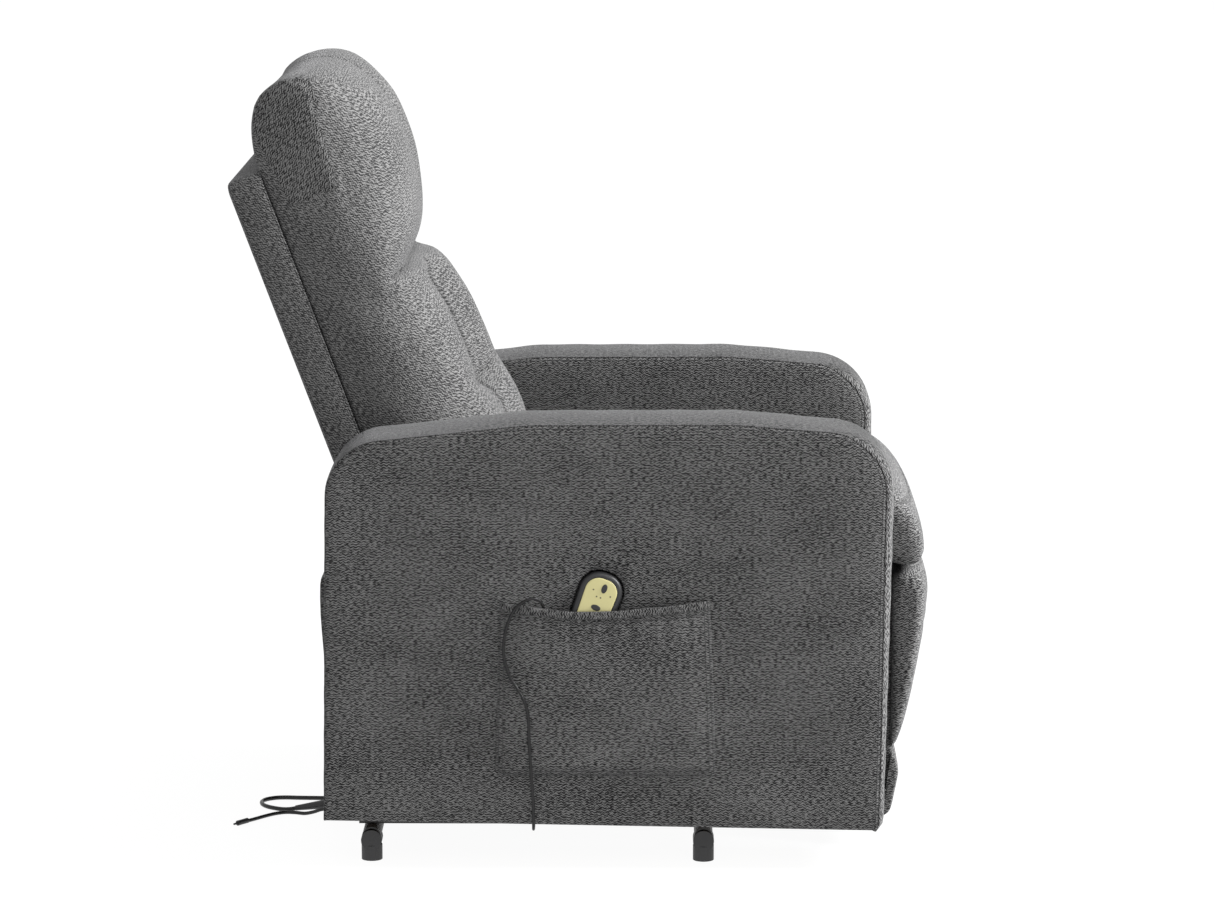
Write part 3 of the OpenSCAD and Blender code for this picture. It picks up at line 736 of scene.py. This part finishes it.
def arm_band(name, node, side):
    """The strip round the edge of an arm, over its whole width: crowned on top, square-shouldered in front."""
    ts = [0.0, 0.012, 0.03, 0.055, 0.09, 0.14, 0.22, 0.34, 0.50, 0.72, 1.0]
    sections, vals = [], {}
    for (x, z), (nx, nz) in zip(PATH, NORM):
        e, c = inset(x, z), crown(x, z)
        p = 2.3 + 6.5 * smooth01((x - 300) / 80) + 4 * smooth01((-200 - x) / 100)
        puck = 0.3 * math.sin(x * 0.09 + z * 0.11)
        prof = [(360.0 - 0.8 + 0.8 * min(1, t / 0.012) - 60 * t, -e + (c + e) * (1 - (1 - t) ** p) + (puck if 0.1 < t else 0)) for t in ts]
        prof += [(600.0 - y, h) for y, h in reversed(prof[:-1])]
        prof += [(241.5, -e - 3), (262, -15.5), (338, -15.5), (358.5, -e - 3)]
        b = len(sections) * len(prof)
        # painted shade along both seam edges of the strip, weaker along the top
        for m, w in ((0, 0.8), (1, 0.6), (2, 0.22), (20, 0.8), (19, 0.6), (18, 0.22)):
            vals[b + m] = w * (0.55 if z > 540 else 0.8)
        sections.append([(x + nx * h, side * y, z + nz * h) for y, h in prof])
    v, f = skin(sections)
    ob = make(name, v, f, M_BAND, "chassis")
    put_seam_shade(ob, vals)
    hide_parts(node)
    return ob


for side, word in ((1, "left"), (-1, "right")):
    outer = arm_panel(f"arm_side_{word}", f"arm_outer_panel_{word}", side, True)
    inner = arm_panel(f"arm_inside_{word}", f"arm_inner_panel_{word}", side, False)
    band = arm_band(f"arm_strip_{word}", f"arm_band_{word}", side)
    for tag, piece, y, s_ in (("outer", outer, 361, 1), ("inner", inner, 239, -1)):
        run = []
        for (x, z), (nx, nz) in zip(PATH, NORM):
            if x > 250 or z > 540:
                d = inset(x, z) + 4.0
                run.append((x - nx * d, side * y, z - nz * d))
        thread(f"arm_stitch_{tag}_{word}", piece, run, "chassis", 0.42, -0.1)

# hollow in the right panel where the handset lies
def rot_hand(a, c):
    l = math.radians(20)
    return (9 + a * math.cos(l) + c * math.sin(l), 332.5 - a * math.sin(l) + c * math.cos(l))


def hand_loop(i, n=8):
    w, h = 29, 74
    return rounded([(-w + i, h - i, max(2, 26 - i)), (w - i, h - i, max(2, 26 - i)), (w - 3 - i, -h + i, max(2, 12 - i)), (-w + 3 + i, -h + i, max(2, 12 - i))], n)


cut_loop = [rot_hand(a, c) for a, c in hand_loop(-3.0)]
cv, cf = skin([[(x, -380, z) for x, z in cut_loop], [(x, -348.5, z) for x, z in cut_loop]])
cutter = make("cutter", cv, cf, M_SIDE, None)
right = bpy.data.objects["arm_side_right"]
bo = right.modifiers.new("b", "BOOLEAN")
bo.operation = "DIFFERENCE"
bo.solver = "EXACT"
bo.object = cutter
apply_mods(right)
bpy.data.objects.remove(cutter)

# ------------------------------------------------------------------ handset
def slab(name, loop_fn, ys, mat, body, xf=rot_hand):
    """Stack of inset loops: ys are (inset, y)."""
    sections = []
    for i, y in ys:
        sections.append([(xf(a, c)[0], y, xf(a, c)[1]) for a, c in loop_fn(i)])
    v, f = skin(sections)
    return make(name, v, f, mat, body)


shell = slab("handset_body", hand_loop, [(3.5, -350.0), (1.2, -350.8), (0.2, -353), (0, -356), (0, -363), (0.3, -366.2), (1.6, -368.4), (4.2, -369.45), (6.6, -369.5), (7.0, -368.4), (9.0, -368.3)], M_BLACK, "chassis")
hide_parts("handset_shell")


def plate_loop(i):
    w, h = 29 - 7.2, 74 - 7.2
    return rounded([(-w + i, h - i, max(1.5, 18 - i)), (w - i, h - i, max(1.5, 18 - i)), (w - 3 - i, -h + i, max(1.5, 5 - i)), (-w + 3 + i, -h + i, max(1.5, 5 - i))], 8)


face = slab("handset_panel", plate_loop, [(0.4, -368.4), (0, -369.0), (0.15, -369.6), (0.8, -369.95), (2.0, -370.05), (10, -370.1)], M_CREAM, "chassis")
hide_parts("handset_face")


def round_loop(cx, cz, rx, rz, n=28):
    return lambda i: [(cx + (rx - i) * math.cos(2 * math.pi * k / n), cz + (rz - i) * math.sin(2 * math.pi * k / n)) for k in range(n)]


for nm, node, cx, cz, rx, rz, body, top in (("raise_button", "handset_button_up", 2.6, 54.5, 3.7, 6.2, "key_up", -371.1), ("lower_button", "handset_button_down", 0.5, 27, 6.4, 3.8, "key_down", -371.0)):
    b = slab(nm, round_loop(cx, cz, rx, rz), [(0.6, -366.4), (0, -367), (0, top + 0.5), (0.35, top + 0.1), (1.2, top - 0.1), (2.6, top + 0.12)], M_BLACK, body)
    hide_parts(node)
# plain raised dots beside the keys
for k, (a, c) in enumerate(((-10.5, 49), (13.5, 47), (-3.5, 41.5), (2, 41.5))):
    d = slab(f"handset_dot_{k}", round_loop(a, c, 1.0, 1.0, 10), [(0, -370.0), (0, -370.3), (0.5, -370.4)], M_BLACK, "chassis")

# ------------------------------------------------------------------ side pocket
def pocket_xz(s, t):
    """s 0..1 rear to front, t 0..1 bottom to mouth."""
    xl = -114 + 5 * t
    xr = 178 - 9 * t
    x = xl + (xr - xl) * s
    mouth = catmull([(0.0, 363.0), (0.1, 360.0), (0.2, 357.0), (0.35, 352.0), (0.54, 354.0), (0.75, 359.5), (1.0, 366.0)], 1)
    m = 0.0
    pts = [(0.0, 363.0), (0.1, 360.0), (0.2, 357.0), (0.35, 352.5), (0.54, 353.5), (0.75, 358.5), (1.0, 366.0)]
    for (a, za), (b, zb) in zip(pts, pts[1:]):
        if a <= s <= b:
            w = (s - a) / (b - a)
            w = w * w * (3 - 2 * w) * 0.5 + w * 0.5
            m = za + (zb - za) * w
    bottom = 129.5 - 1.5 * s
    r = 10.0   # rounded lower corners
    if x < xl + r:
        bottom += r - math.sqrt(max(0, r * r - (xl + r - x) ** 2))
    if x > xr - r:
        bottom += r - math.sqrt(max(0, r * r - (x - xr + r) ** 2))
    return x, bottom + (m - bottom) * t


def pocket_off(s, t):
    """How far the pocket's cloth stands off the arm."""
    x, z = pocket_xz(s, t)
    edge = max(0.0, 1 - abs(2 * s - 1) ** 5.0) ** 0.7
    rise = smooth01((t + 0.012) / 0.085)
    off = 1.2 + 10.4 * edge * rise
    # the elastic mouth pulls the cloth into small upright gathers
    g = smooth01((t - 0.55) / 0.45)
    k = s * 46 + 0.9 * math.sin(s * 21 + 0.7) + 0.5 * math.sin(s * 57)
    gather = 0.85 * g * (0.55 + 0.45 * math.sin(s * 13 + 2)) * math.sin(k) * edge
    sag = 0.9 * math.sin(s * 6.1 + 0.8) * math.sin(t * 5.2 + 0.4) * edge * (1 - g)
    return off + gather + sag


NS, NT = 150, 90
pv, pf = [], []
for layer, th in ((0, 0.0), (1, -1.5)):
    for j in range(NT + 1):
        for i in range(NS + 1):
            s, t = i / NS, j / NT
            x, z = pocket_xz(s, t)
            pv.append((x, -360.0 - 1.9 - pocket_off(s, t) - th * (1 if layer else 0) * 1.0, z))
cnt = (NS + 1) * (NT + 1)
for j in range(NT):
    for i in range(NS):
        a = j * (NS + 1) + i
        pf.append((a, a + 1, a + NS + 2, a + NS + 1))
        b = a + cnt
        pf.append((b, b + NS + 1, b + NS + 2, b + 1))
rim = [i for i in range(NS + 1)] + [j * (NS + 1) + NS for j in range(1, NT + 1)] + [NT * (NS + 1) + i for i in range(NS - 1, -1, -1)] + [j * (NS + 1) for j in range(NT - 1, 0, -1)]
for k in range(len(rim)):
    a, b = rim[k], rim[(k + 1) % len(rim)]
    pf.append((a, a + cnt, b + cnt, b))
pocket = make("pocket_cloth", pv, pf, M_SIDE, "chassis")
pocket.data.materials.append(M_HEM)
for k, poly in enumerate(pocket.data.polygons):
    if k < 2 * NS * NT and (k // 2) // NS > NT * 0.955:
        poly.material_index = 1
# painted shade in the valleys of the gathers, under the hem and along the sewn edges
vals = {}
for j in range(NT + 1):
    for i in range(NS + 1):
        s_, t_ = i / NS, j / NT
        g = smooth01((t_ - 0.62) / 0.3)
        k_ = s_ * 46 + 0.9 * math.sin(s_ * 21 + 0.7) + 0.5 * math.sin(s_ * 57)
        w = 0.34 * g * smooth01((1 - t_) / 0.05) * max(0.0, -math.sin(k_)) ** 2
        w = max(w, 0.5 * math.exp(-((t_ - 0.945) / 0.012) ** 2))
        for q in (s_, 1 - s_):
            w = max(w, 0.5 * math.exp(-(q / 0.008) ** 2), 0.22 * math.exp(-((q - 0.035) / 0.006) ** 2))
        w = max(w, 0.5 * math.exp(-(t_ / 0.012) ** 2), 0.22 * math.exp(-((t_ - 0.045) / 0.008) ** 2))
        if w > 0.02:
            vals[j * (NS + 1) + i] = w
put_seam_shade(pocket, vals)
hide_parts("side_pocket")
# hem under the mouth, and two rows of stitching at the sides and bottom
for tag, t0 in (("hem_a", 0.955), ("hem_b", 0.93)):
    pts = [(*(lambda q: (q[0], -363.4 - pocket_off(i / 80, t0), q[1]))(pocket_xz(i / 80, t0)),) for i in range(1, 80)]
    thread(f"pocket_{tag}", pocket, pts, "chassis", 0.45, 0.05)
for tag, d in (("sew_a", 0.010), ("sew_b", 0.028)):
    run = [(d, t / 40) for t in range(40, 0, -1)] + [(d + (1 - 2 * d) * i / 60, d * 1.1) for i in range(0, 61)] + [(1 - d, t / 40) for t in range(1, 41)]
    run = [(s, max(t, d * 1.1)) for s, t in run]
    pts = []
    for s, t in run:
        x, z = pocket_xz(s, t)
        pts.append((x, -363.4 - pocket_off(s, t), z))
    thread(f"pocket_{tag}", pocket, pts, "chassis", 0.45, 0.05)


# ------------------------------------------------------------------ cushions from cross-sections
def cushion(name, rows, ys, wfun, mapf, half, caps, per=3, extra=None):
    """rows: (centre point, side point) pairs of a closed loop. ys: stations. wfun(y): 1 centre .. 0 side."""
    centre = catmull([r[0] for r in rows], per, True)
    sidel = catmull([r[1] for r in rows], per, True)
    n = len(centre)
    sc = (sum(p[0] for p in sidel) / n, sum(p[1] for p in sidel) / n)
    sections = []

    def ring(y, w, f=1.0):
        out = []
        for (cu, cn), (su, sn) in zip(centre, sidel):
            a, b = su + (cu - su) * w, sn + (cn - sn) * w
            if extra:
                a, b = extra(a, b, y, w)
            a, b = sc[0] + (a - sc[0]) * f, sc[1] + (b - sc[1]) * f
            x, z = mapf(a, b)
            out.append((x, y, z))
        return out

    for f, y in reversed(caps):
        sections.append(ring(-y, 0.0, f))
    for y in ys:
        sections.append(ring(y, wfun(y)))
    for f, y in caps:
        sections.append(ring(y, 0.0, f))
    return skin(sections)


def stations(half, n=46):
    """Closer together near the sides."""
    return [half * math.sin(math.pi / 2 * (2 * i / n - 1)) for i in range(n + 1)]


# back: head pillow and lumbar pad are one sewn cushion
BACK = [((4, 43), (4, 43)), ((-60, 42.8), (-60, 42.8)), ((-190, 42.8), (-190, 42.8)), ((-350, 42.8), (-350, 42.8)), ((-500, 42.8), (-500, 42.8)), ((-560, 43), (-560, 43)),
        ((-563, 70), (-563, 70)), ((-560, 104), (-560, 96)), ((-545, 124), (-545, 110)), ((-515, 135), (-517, 124)), ((-499, 160), (-503, 136)), ((-500, 205), (-496, 150)), ((-492, 231), (-482, 158)),
        ((-467, 237), (-460, 162)), ((-435, 237), (-430, 163)), ((-405, 232), (-402, 163)), ((-378, 227), (-380, 162)), ((-350, 226), (-350, 161)), ((-318, 225), (-320, 160)),
        ((-285, 223), (-285, 157)), ((-255, 217), (-255, 154)), ((-228, 210), (-230, 152)), ((-209, 199), (-212, 150)), ((-199, 177), (-202, 148.5)), ((-192, 166), (-196, 148.5)), ((-184, 180), (-187, 148.5)),
        ((-165, 197), (-168, 148)), ((-135, 210), (-135, 147)), ((-100, 220), (-100, 143)), ((-62, 228), (-62, 137)), ((-22, 230), (-22, 139)), ((18, 227), (18, 140)),
        ((50, 215), (48, 144)), ((73, 202), (74, 148)), ((89, 187), (88, 147)), ((99, 168), (97, 134)), ((104, 147), (101, 118)), ((104, 120), (101, 97)), ((95, 90), (92, 74)), ((75, 66), (74, 61)), ((48, 51), (46, 50))]


def back_w(y):
    return max(0.0, 1 - (abs(y) / 222.0) ** 2.9) ** 0.52


def back_extra(a, b, y, w):
    if b > 120:
        lum = smooth01((-197 - a) / 36) * smooth01((a + 495) / 30)
        valley = 25.0 * math.exp(-(y / 46.0) ** 2) * lum * (1 - 0.35 * smooth01((-392 - a) / 26))
        # the near half has settled a little flatter than the far one
        valley += 19.0 * smooth01((14 - y) / 80) * lum - 1.5 * smooth01((y - 20) / 60) * lum
        tuft = 5.0 * math.exp(-(y / 34.0) ** 2 - ((a + 385) / 22.0) ** 2)
        fold = 5.5 * math.exp(-((a + 385 - 0.03 * abs(y)) / 12.0) ** 2) * smooth01(1 - abs(y) / 170) * lum
        head = smooth01((a + 170) / 90)
        seams = 7.0 * head * math.exp(-((y - 4) / 40.0) ** 2) + 5.0 * head * smooth01((4 - y) / 80)
        b -= (valley + tuft + fold + seams) * smooth01((b - 120) / 40)
    return a, b


bv, bf = cushion("back", BACK, stations(220, 56), back_w, un, 226, [(1.0, 222), (0.975, 225.5), (0.93, 227.5), (0.8, 228.8), (0.55, 229.4), (0.25, 229.5)], 4, back_extra)
back = make("back_cushion", bv, bf, M_BACK, "backrest")


def back_pin(p):
    dx, dz = p.x + 470, p.z - 900
    n = dx * CB + dz * SB
    u = -dx * SB + dz * CB
    w = 0.0
    if n < 60:
        w = 1.0
    w = max(w, math.exp(-((u + 196) / 14.0) ** 2) * smooth01((n - 135) / 30))
    if u < -520:
        w = max(w, 0.7)
    if abs(abs(p.y) - 222) < 10 and abs(n - 142) < 14 and u > -70:
        w = max(w, 0.9)
    if u > 60 and abs(abs(p.y) - 218) < 12 and n < 150:
        w = max(w, 0.5)
    if u < -205 and n > 150:
        w = max(w, 0.8 * math.exp(-(p.y / 16.0) ** 2))
    if n > 150 and u < -205 and math.hypot(p.y, (u + 385)) < 26:
        w = 1.0
    return w


remesh(back, 0.0070)
puff(back, 2.5, 0.010, back_pin)
relax(back, 0.5, 2)
subdivide(back, 1)
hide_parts("head_cushion", "lumbar_cushion")


def back_pt(u, n, y):
    x, z = un(u, n)
    return (x, y, z)


# the side panels of the head are cut with the weave upright
def back_un(co):
    dx, dz = co.x * 1000 + 470, co.z * 1000 - 900
    return -dx * SB + dz * CB, dx * CB + dz * SB


back.data.materials.append(M_GUSSET)
for poly in back.data.polygons:
    c = poly.center
    if abs(c.y) > 0.196:
        u, n = back_un(c)
        lim = 150 - 0.0 if u > 60 else 141 - (-10 - u) * 0.20 if u < -10 else 141
        if u > -58 + (n - 60) * 0.05 and u < 106 and 62 - u * 0.10 < n < lim:
            poly.material_index = 1

# seams of the back cushion: each is sunk into the mesh with painted shade along it
for sgn, word in ((-1, "right"), (1, "left")):
    gus = [back_pt(u, n, sgn * 224) for u, n in ((94, 78), (100, 98), (101, 118), (98, 136), (91.6, 147), (76, 147), (52, 143.5), (20, 141), (-12, 139.5), (-40, 134), (-58, 127))]
    g = catmull(gus, 6)
    carve(back, g[: int(len(g) * 0.62)], 3.4, 1.7, 0.42, 2.0)
    carve(back, g[int(len(g) * 0.60):], 3.4, 1.0, 0.26, 2.0)
    low = [back_pt(-57, n, sgn * 226) for n in range(62, 128, 6)]
    carve(back, low, 3.0, 0.8, 0.2, 1.8)
pinch = [back_pt(-195, 160 + 8 * back_w(y), y) for y in range(-212, 213, 8)]
carve(back, pinch, 4.5, 3.0, 0.8, 4.0)
top = catmull([back_pt(u, n, 14) for u, n in ((96, 100), (105, 122), (106, 146), (100, 168), (88, 190), (72, 206), (50, 216), (26, 224))], 8)
carve(back, top, 5.0, 2.2, 0.5, 3.2)
centre = catmull([back_pt(u, 205, 0) for u in (-210, -260, -320, -385, -430, -480)], 10)
carve(back, centre, 5.0, 3.0, 0.95, 4.5)
across = [back_pt(-385 + 0.03 * abs(y), 200, y) for y in range(-110, 111, 8)]
carve(back, across, 5.0, 1.5, 0.35, 4.0)

# shell: the upholstered box behind the cushion
SH_HALF = 231.0


def shell_loop(i):
    return rounded([(-SH_HALF + i, -575 + i, max(2, 10 - i)), (SH_HALF - i, -575 + i, max(2, 10 - i)), (SH_HALF - i, -i, max(2, 12 - i)), (-SH_HALF + i, -i, max(2, 12 - i))], 6)


secs = []
for i, n in ((3.0, 42.4), (0.8, 41.4), (-0.2, 39), (-0.4, 30), (-0.8, 20), (0, 8), (0.8, 1.5), (2.6, -1.6), (6.0, -3.0), (12, -3.8), (26, -4.6), (50, -5.4), (90, -6.0), (140, -6.2), (190, -6.2)):
    ring = []
    for y, u in even_loop(shell_loop(max(i, -1)), 240):
        if i > 12:
            k = 1 - (i - 12) / SH_HALF
            yy, uu = even_y = (y, u)
        x, z = un(u, n)
        ring.append((x, y, z))
    secs.append(ring)
sv, sf = skin(secs)
shell_ob = make("back_shell_cover", sv, sf, M_BACK, "backrest")
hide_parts("back_shell")
# welt in the gap between the cushion and the shell
welt = [(*(lambda q: (q[0], y, q[1]))(un(u, 42.7)),) for y, u in even_loop(shell_loop(2.4), 160)]
welt = [tuple(c) for c in welt if c[2] > 380]
tube("back_welt", welt, 1.7, M_BACK, "backrest", 2)
for tag, i, n in (("a", 0.3, -0.4), ("b", 9.0, -3.6)):
    pts = [(*(lambda q: (q[0], y, q[1]))(un(u, n)),) for y, u in even_loop(shell_loop(i), 200)]
    thread(f"shell_seam_{tag}", shell_ob, pts + [pts[0]], "backrest", 0.6, 0.0)

# ------------------------------------------------------------------ seat
SEAT = [((-150, 392.8), (-150, 392.8)), ((0, 392.8), (0, 392.8)), ((200, 392.8), (200, 392.8)), ((380, 392.8), (380, 392.8)), ((408, 392), (406, 392.6)), ((430, 385), (428, 387)), ((450, 384), (442, 387)),
        ((461, 392), (451, 395)), ((463, 408), (454, 409)), ((458, 432), (449, 430)), ((445, 460), (438, 454)), ((429, 482), (422, 473)), ((408, 500), (402, 486)), ((379, 514), (374, 495)),
        ((336, 523), (332, 501)), ((250, 526), (250, 501)), ((170, 522), (170, 497)), ((100, 517), (100, 492)), ((20, 509), (20, 485)), ((-60, 501), (-60, 478)), ((-120, 495), (-118, 472)), ((-145, 486), (-143, 464)), ((-151, 465), (-150, 445)), ((-151, 430), (-150, 420))]
sv, sf = cushion("seat", SEAT, stations(230, 50), lambda y: max(0.0, 1 - (abs(y) / 232.0) ** 3.2) ** 0.55, lambda a, b: (a, b), 236,
                 [(1.0, 232), (0.985, 234.5), (0.95, 236), (0.85, 236.6), (0.55, 236.8), (0.25, 236.8)], 4)
seat = make("seat_pad", sv, sf, M_SIDE, "chassis")


def seat_pin(p):
    w = 0.0
    if p.z < 405:
        w = 1.0
    if p.x < -130:
        w = 1.0
    if abs(p.y) > 222:
        w = max(w, 0.6)
    d = math.hypot(p.x - (438 - 0.0), p.z - 470)
    if d < 12:
        w = max(w, 0.9)
    return w


remesh(seat, 0.0085)
puff(seat, 2.0, 0.006, seat_pin)
relax(seat, 0.5, 2)
subdivide(seat, 1)
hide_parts("seat_cushion")
front_seam = [((440 + 6 * (1 - (abs(y) / 232) ** 2)) - 10 * (abs(y) / 232) ** 4, y, 482 - 26 * (1 - (abs(y) / 232) ** 2)) for y in range(-228, 229, 6)]
# the front seam is sunk in with painted shade along it
fs = carve(seat, front_seam, 4.0, 2.2, 0.8, 2.4)
thread("seat_front_stitch", seat, [(p[0] + 2, p[1], p[2] - 4) for p in fs], "chassis", 0.45, -0.1)

# ------------------------------------------------------------------ footrest
PAD = [((415.5, 133), (415.5, 136)), ((415.5, 190), (415.5, 190)), ((415.5, 260), (415.5, 260)), ((415.5, 350), (415.5, 350)), ((419, 369), (418, 366)), ((430, 379), (426, 374)), ((446, 381), (438, 375)),
       ((460, 376), (449, 370)), ((467, 358), (455, 354)), ((467, 322), (453, 320)), ((461, 282), (449, 280)), ((450.5, 224), (440, 222)), ((438.5, 172), (430, 174)), ((428, 143), (422, 147)), ((421, 132), (418.5, 136))]
sv, sf = cushion("pad", PAD, stations(227, 44), lambda y: max(0.0, 1 - (abs(y) / 229.0) ** 4.4) ** 0.52, lambda a, b: (a, b), 234,
                 [(1.0, 229.5), (0.98, 232), (0.93, 233.6), (0.8, 234.2), (0.5, 234.4), (0.25, 234.4)], 4)
fpad = make("footrest_cushion", sv, sf, M_SIDE, "footrest")
remesh(fpad, 0.0065)
puff(fpad, 2.0, 0.005, lambda p: 1.0 if p.x < 420 else (0.7 if abs(p.y) > 224 else (0.8 if p.z < 142 else 0.0)))
relax(fpad, 0.5, 2)
subdivide(fpad, 1)
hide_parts("footrest_pad")

ROLLC = rounded([(396, 36, 9), (388.5, 58, 6), (389.5, 70.6, 3), (415.4, 70.8, 1), (415.4, 129, 3), (423, 129, 6), (428, 102, 30), (416, 43, 20)], 5)
rows = [(p, (410 + (p[0] - 410) * 0.9, 84 + (p[1] - 84) * 0.95)) for p in ROLLC]
sv, sf = cushion("roll", rows, stations(227, 40), lambda y: max(0.0, 1 - (abs(y) / 229.0) ** 9) ** 0.5, lambda a, b: (a, b), 234,
                 [(1.0, 229.5), (0.96, 232), (0.88, 233.6), (0.7, 234.2), (0.4, 234.4)], 1)
roll = make("footrest_lower_roll", sv, sf, M_SIDE, "footrest")
relax(roll, 0.4, 2)
subdivide(roll, 1)
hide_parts("footrest_roll")

# the footrest's board is wrapped in the same cloth
wrap_rows = rounded([(397.7, 70.9, 3), (397.7, 348.6, 5), (416.2, 348.6, 2), (416.2, 70.9, 2)], 5)
secs = []
for f_, y in ((0.3, 218.4), (0.8, 218.3), (0.95, 217.8), (1.0, 216.6), (1.0, 150), (1.0, 75), (1.0, 0), (1.0, -75), (1.0, -150), (1.0, -216.6), (0.95, -217.8), (0.8, -218.3), (0.3, -218.4)):
    secs.append([(406.8 + (x - 406.8) * f_, y * 1.002, 210 + (z - 210) * (1 - (1 - f_) * 0.08)) for x, z in even_loop(wrap_rows, 60)])
v, f = skin(secs)
gap_shadow_cloth = make("footrest_wrap", v, f, M_SIDE, "footrest")

# ------------------------------------------------------------------ rear skirt
sk = []
prof = [(-341, 97), (-342, 150), (-344.5, 200), (-349, 270), (-352.5, 320), (-352.5, 362), (-349, 371), (-340, 372.2), (-335, 370), (-334.3, 330), (-334.3, 250), (-334.3, 150), (-335, 97)]
for y in stations(239.5, 30):
    w = max(0.0, 1 - (abs(y) / 239.5) ** 8)
    sk.append([(x - (0.6 * w * math.sin((z - 97) / 275 * math.pi) if x < -338 else 0) + 0.4 * math.sin(y * 0.05 + z * 0.03) * w, y, z) for x, z in catmull(prof, 2, True)])
v, f = skin(sk)
skirt = make("rear_panel", v, f, M_SIDE, "chassis")
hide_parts("rear_skirt")

# the seat boards get near-black cloth: painted shadow for the dark gaps round the seat
for nm in ("seat_front_board", "seat_side_boards"):
    NODES[nm].data.materials.clear()
    NODES[nm].data.materials.append(M_GAP_SHADOW)

# ------------------------------------------------------------------ floor, light
v = [(-90, -90, 0), (90, -90, 0), (90, 90, 0), (-90, 90, 0)]
me = bpy.data.meshes.new("floor")
me.from_pydata(v, [], [(0, 1, 2, 3)])
floor = bpy.data.objects.new("floor", me)
COLL.objects.link(floor)
m, nt, bs = new_mat("studio_floor")
bs.inputs["Base Color"].default_value = (0.055, 0.055, 0.055, 1)
bs.inputs["Roughness"].default_value = 0.9
bs.inputs["Specular IOR Level"].default_value = 0.1
bs.inputs["Emission Color"].default_value = (1, 1, 1, 1)
bs.inputs["Emission Strength"].default_value = 0.95
me.materials.append(m)

world = bpy.data.worlds.new("studio")
SCENE.world = world
world.use_nodes = True
bg = world.node_tree.nodes["Background"]
bg.inputs[0].default_value = (1.0, 1.0, 1.0, 1.0)
bg.inputs[1].default_value = 0.79


def area(name, loc, aim, size, watts):
    l = bpy.data.lights.new(name, "AREA")
    l.shape = "RECTANGLE"
    l.size, l.size_y = size
    l.energy = watts
    o = bpy.data.objects.new(name, l)
    COLL.objects.link(o)
    o.location = loc
    o.rotation_euler = (Vector(aim) - Vector(loc)).to_track_quat("-Z", "Y").to_euler()
    return o


area("key_front", (4.4, -0.1, 3.3), (0, 0, 0.6), (2.4, 2.4), 930)
area("fill_camera", (1.6, -4.6, 4.2), (0, 0, 0.5), (2.6, 2.0), 70)
SCENE.view_settings.view_transform = "Standard"
SCENE.view_settings.look = "None"
SCENE.view_settings.exposure = 0.0
SCENE.view_settings.gamma = 1.0
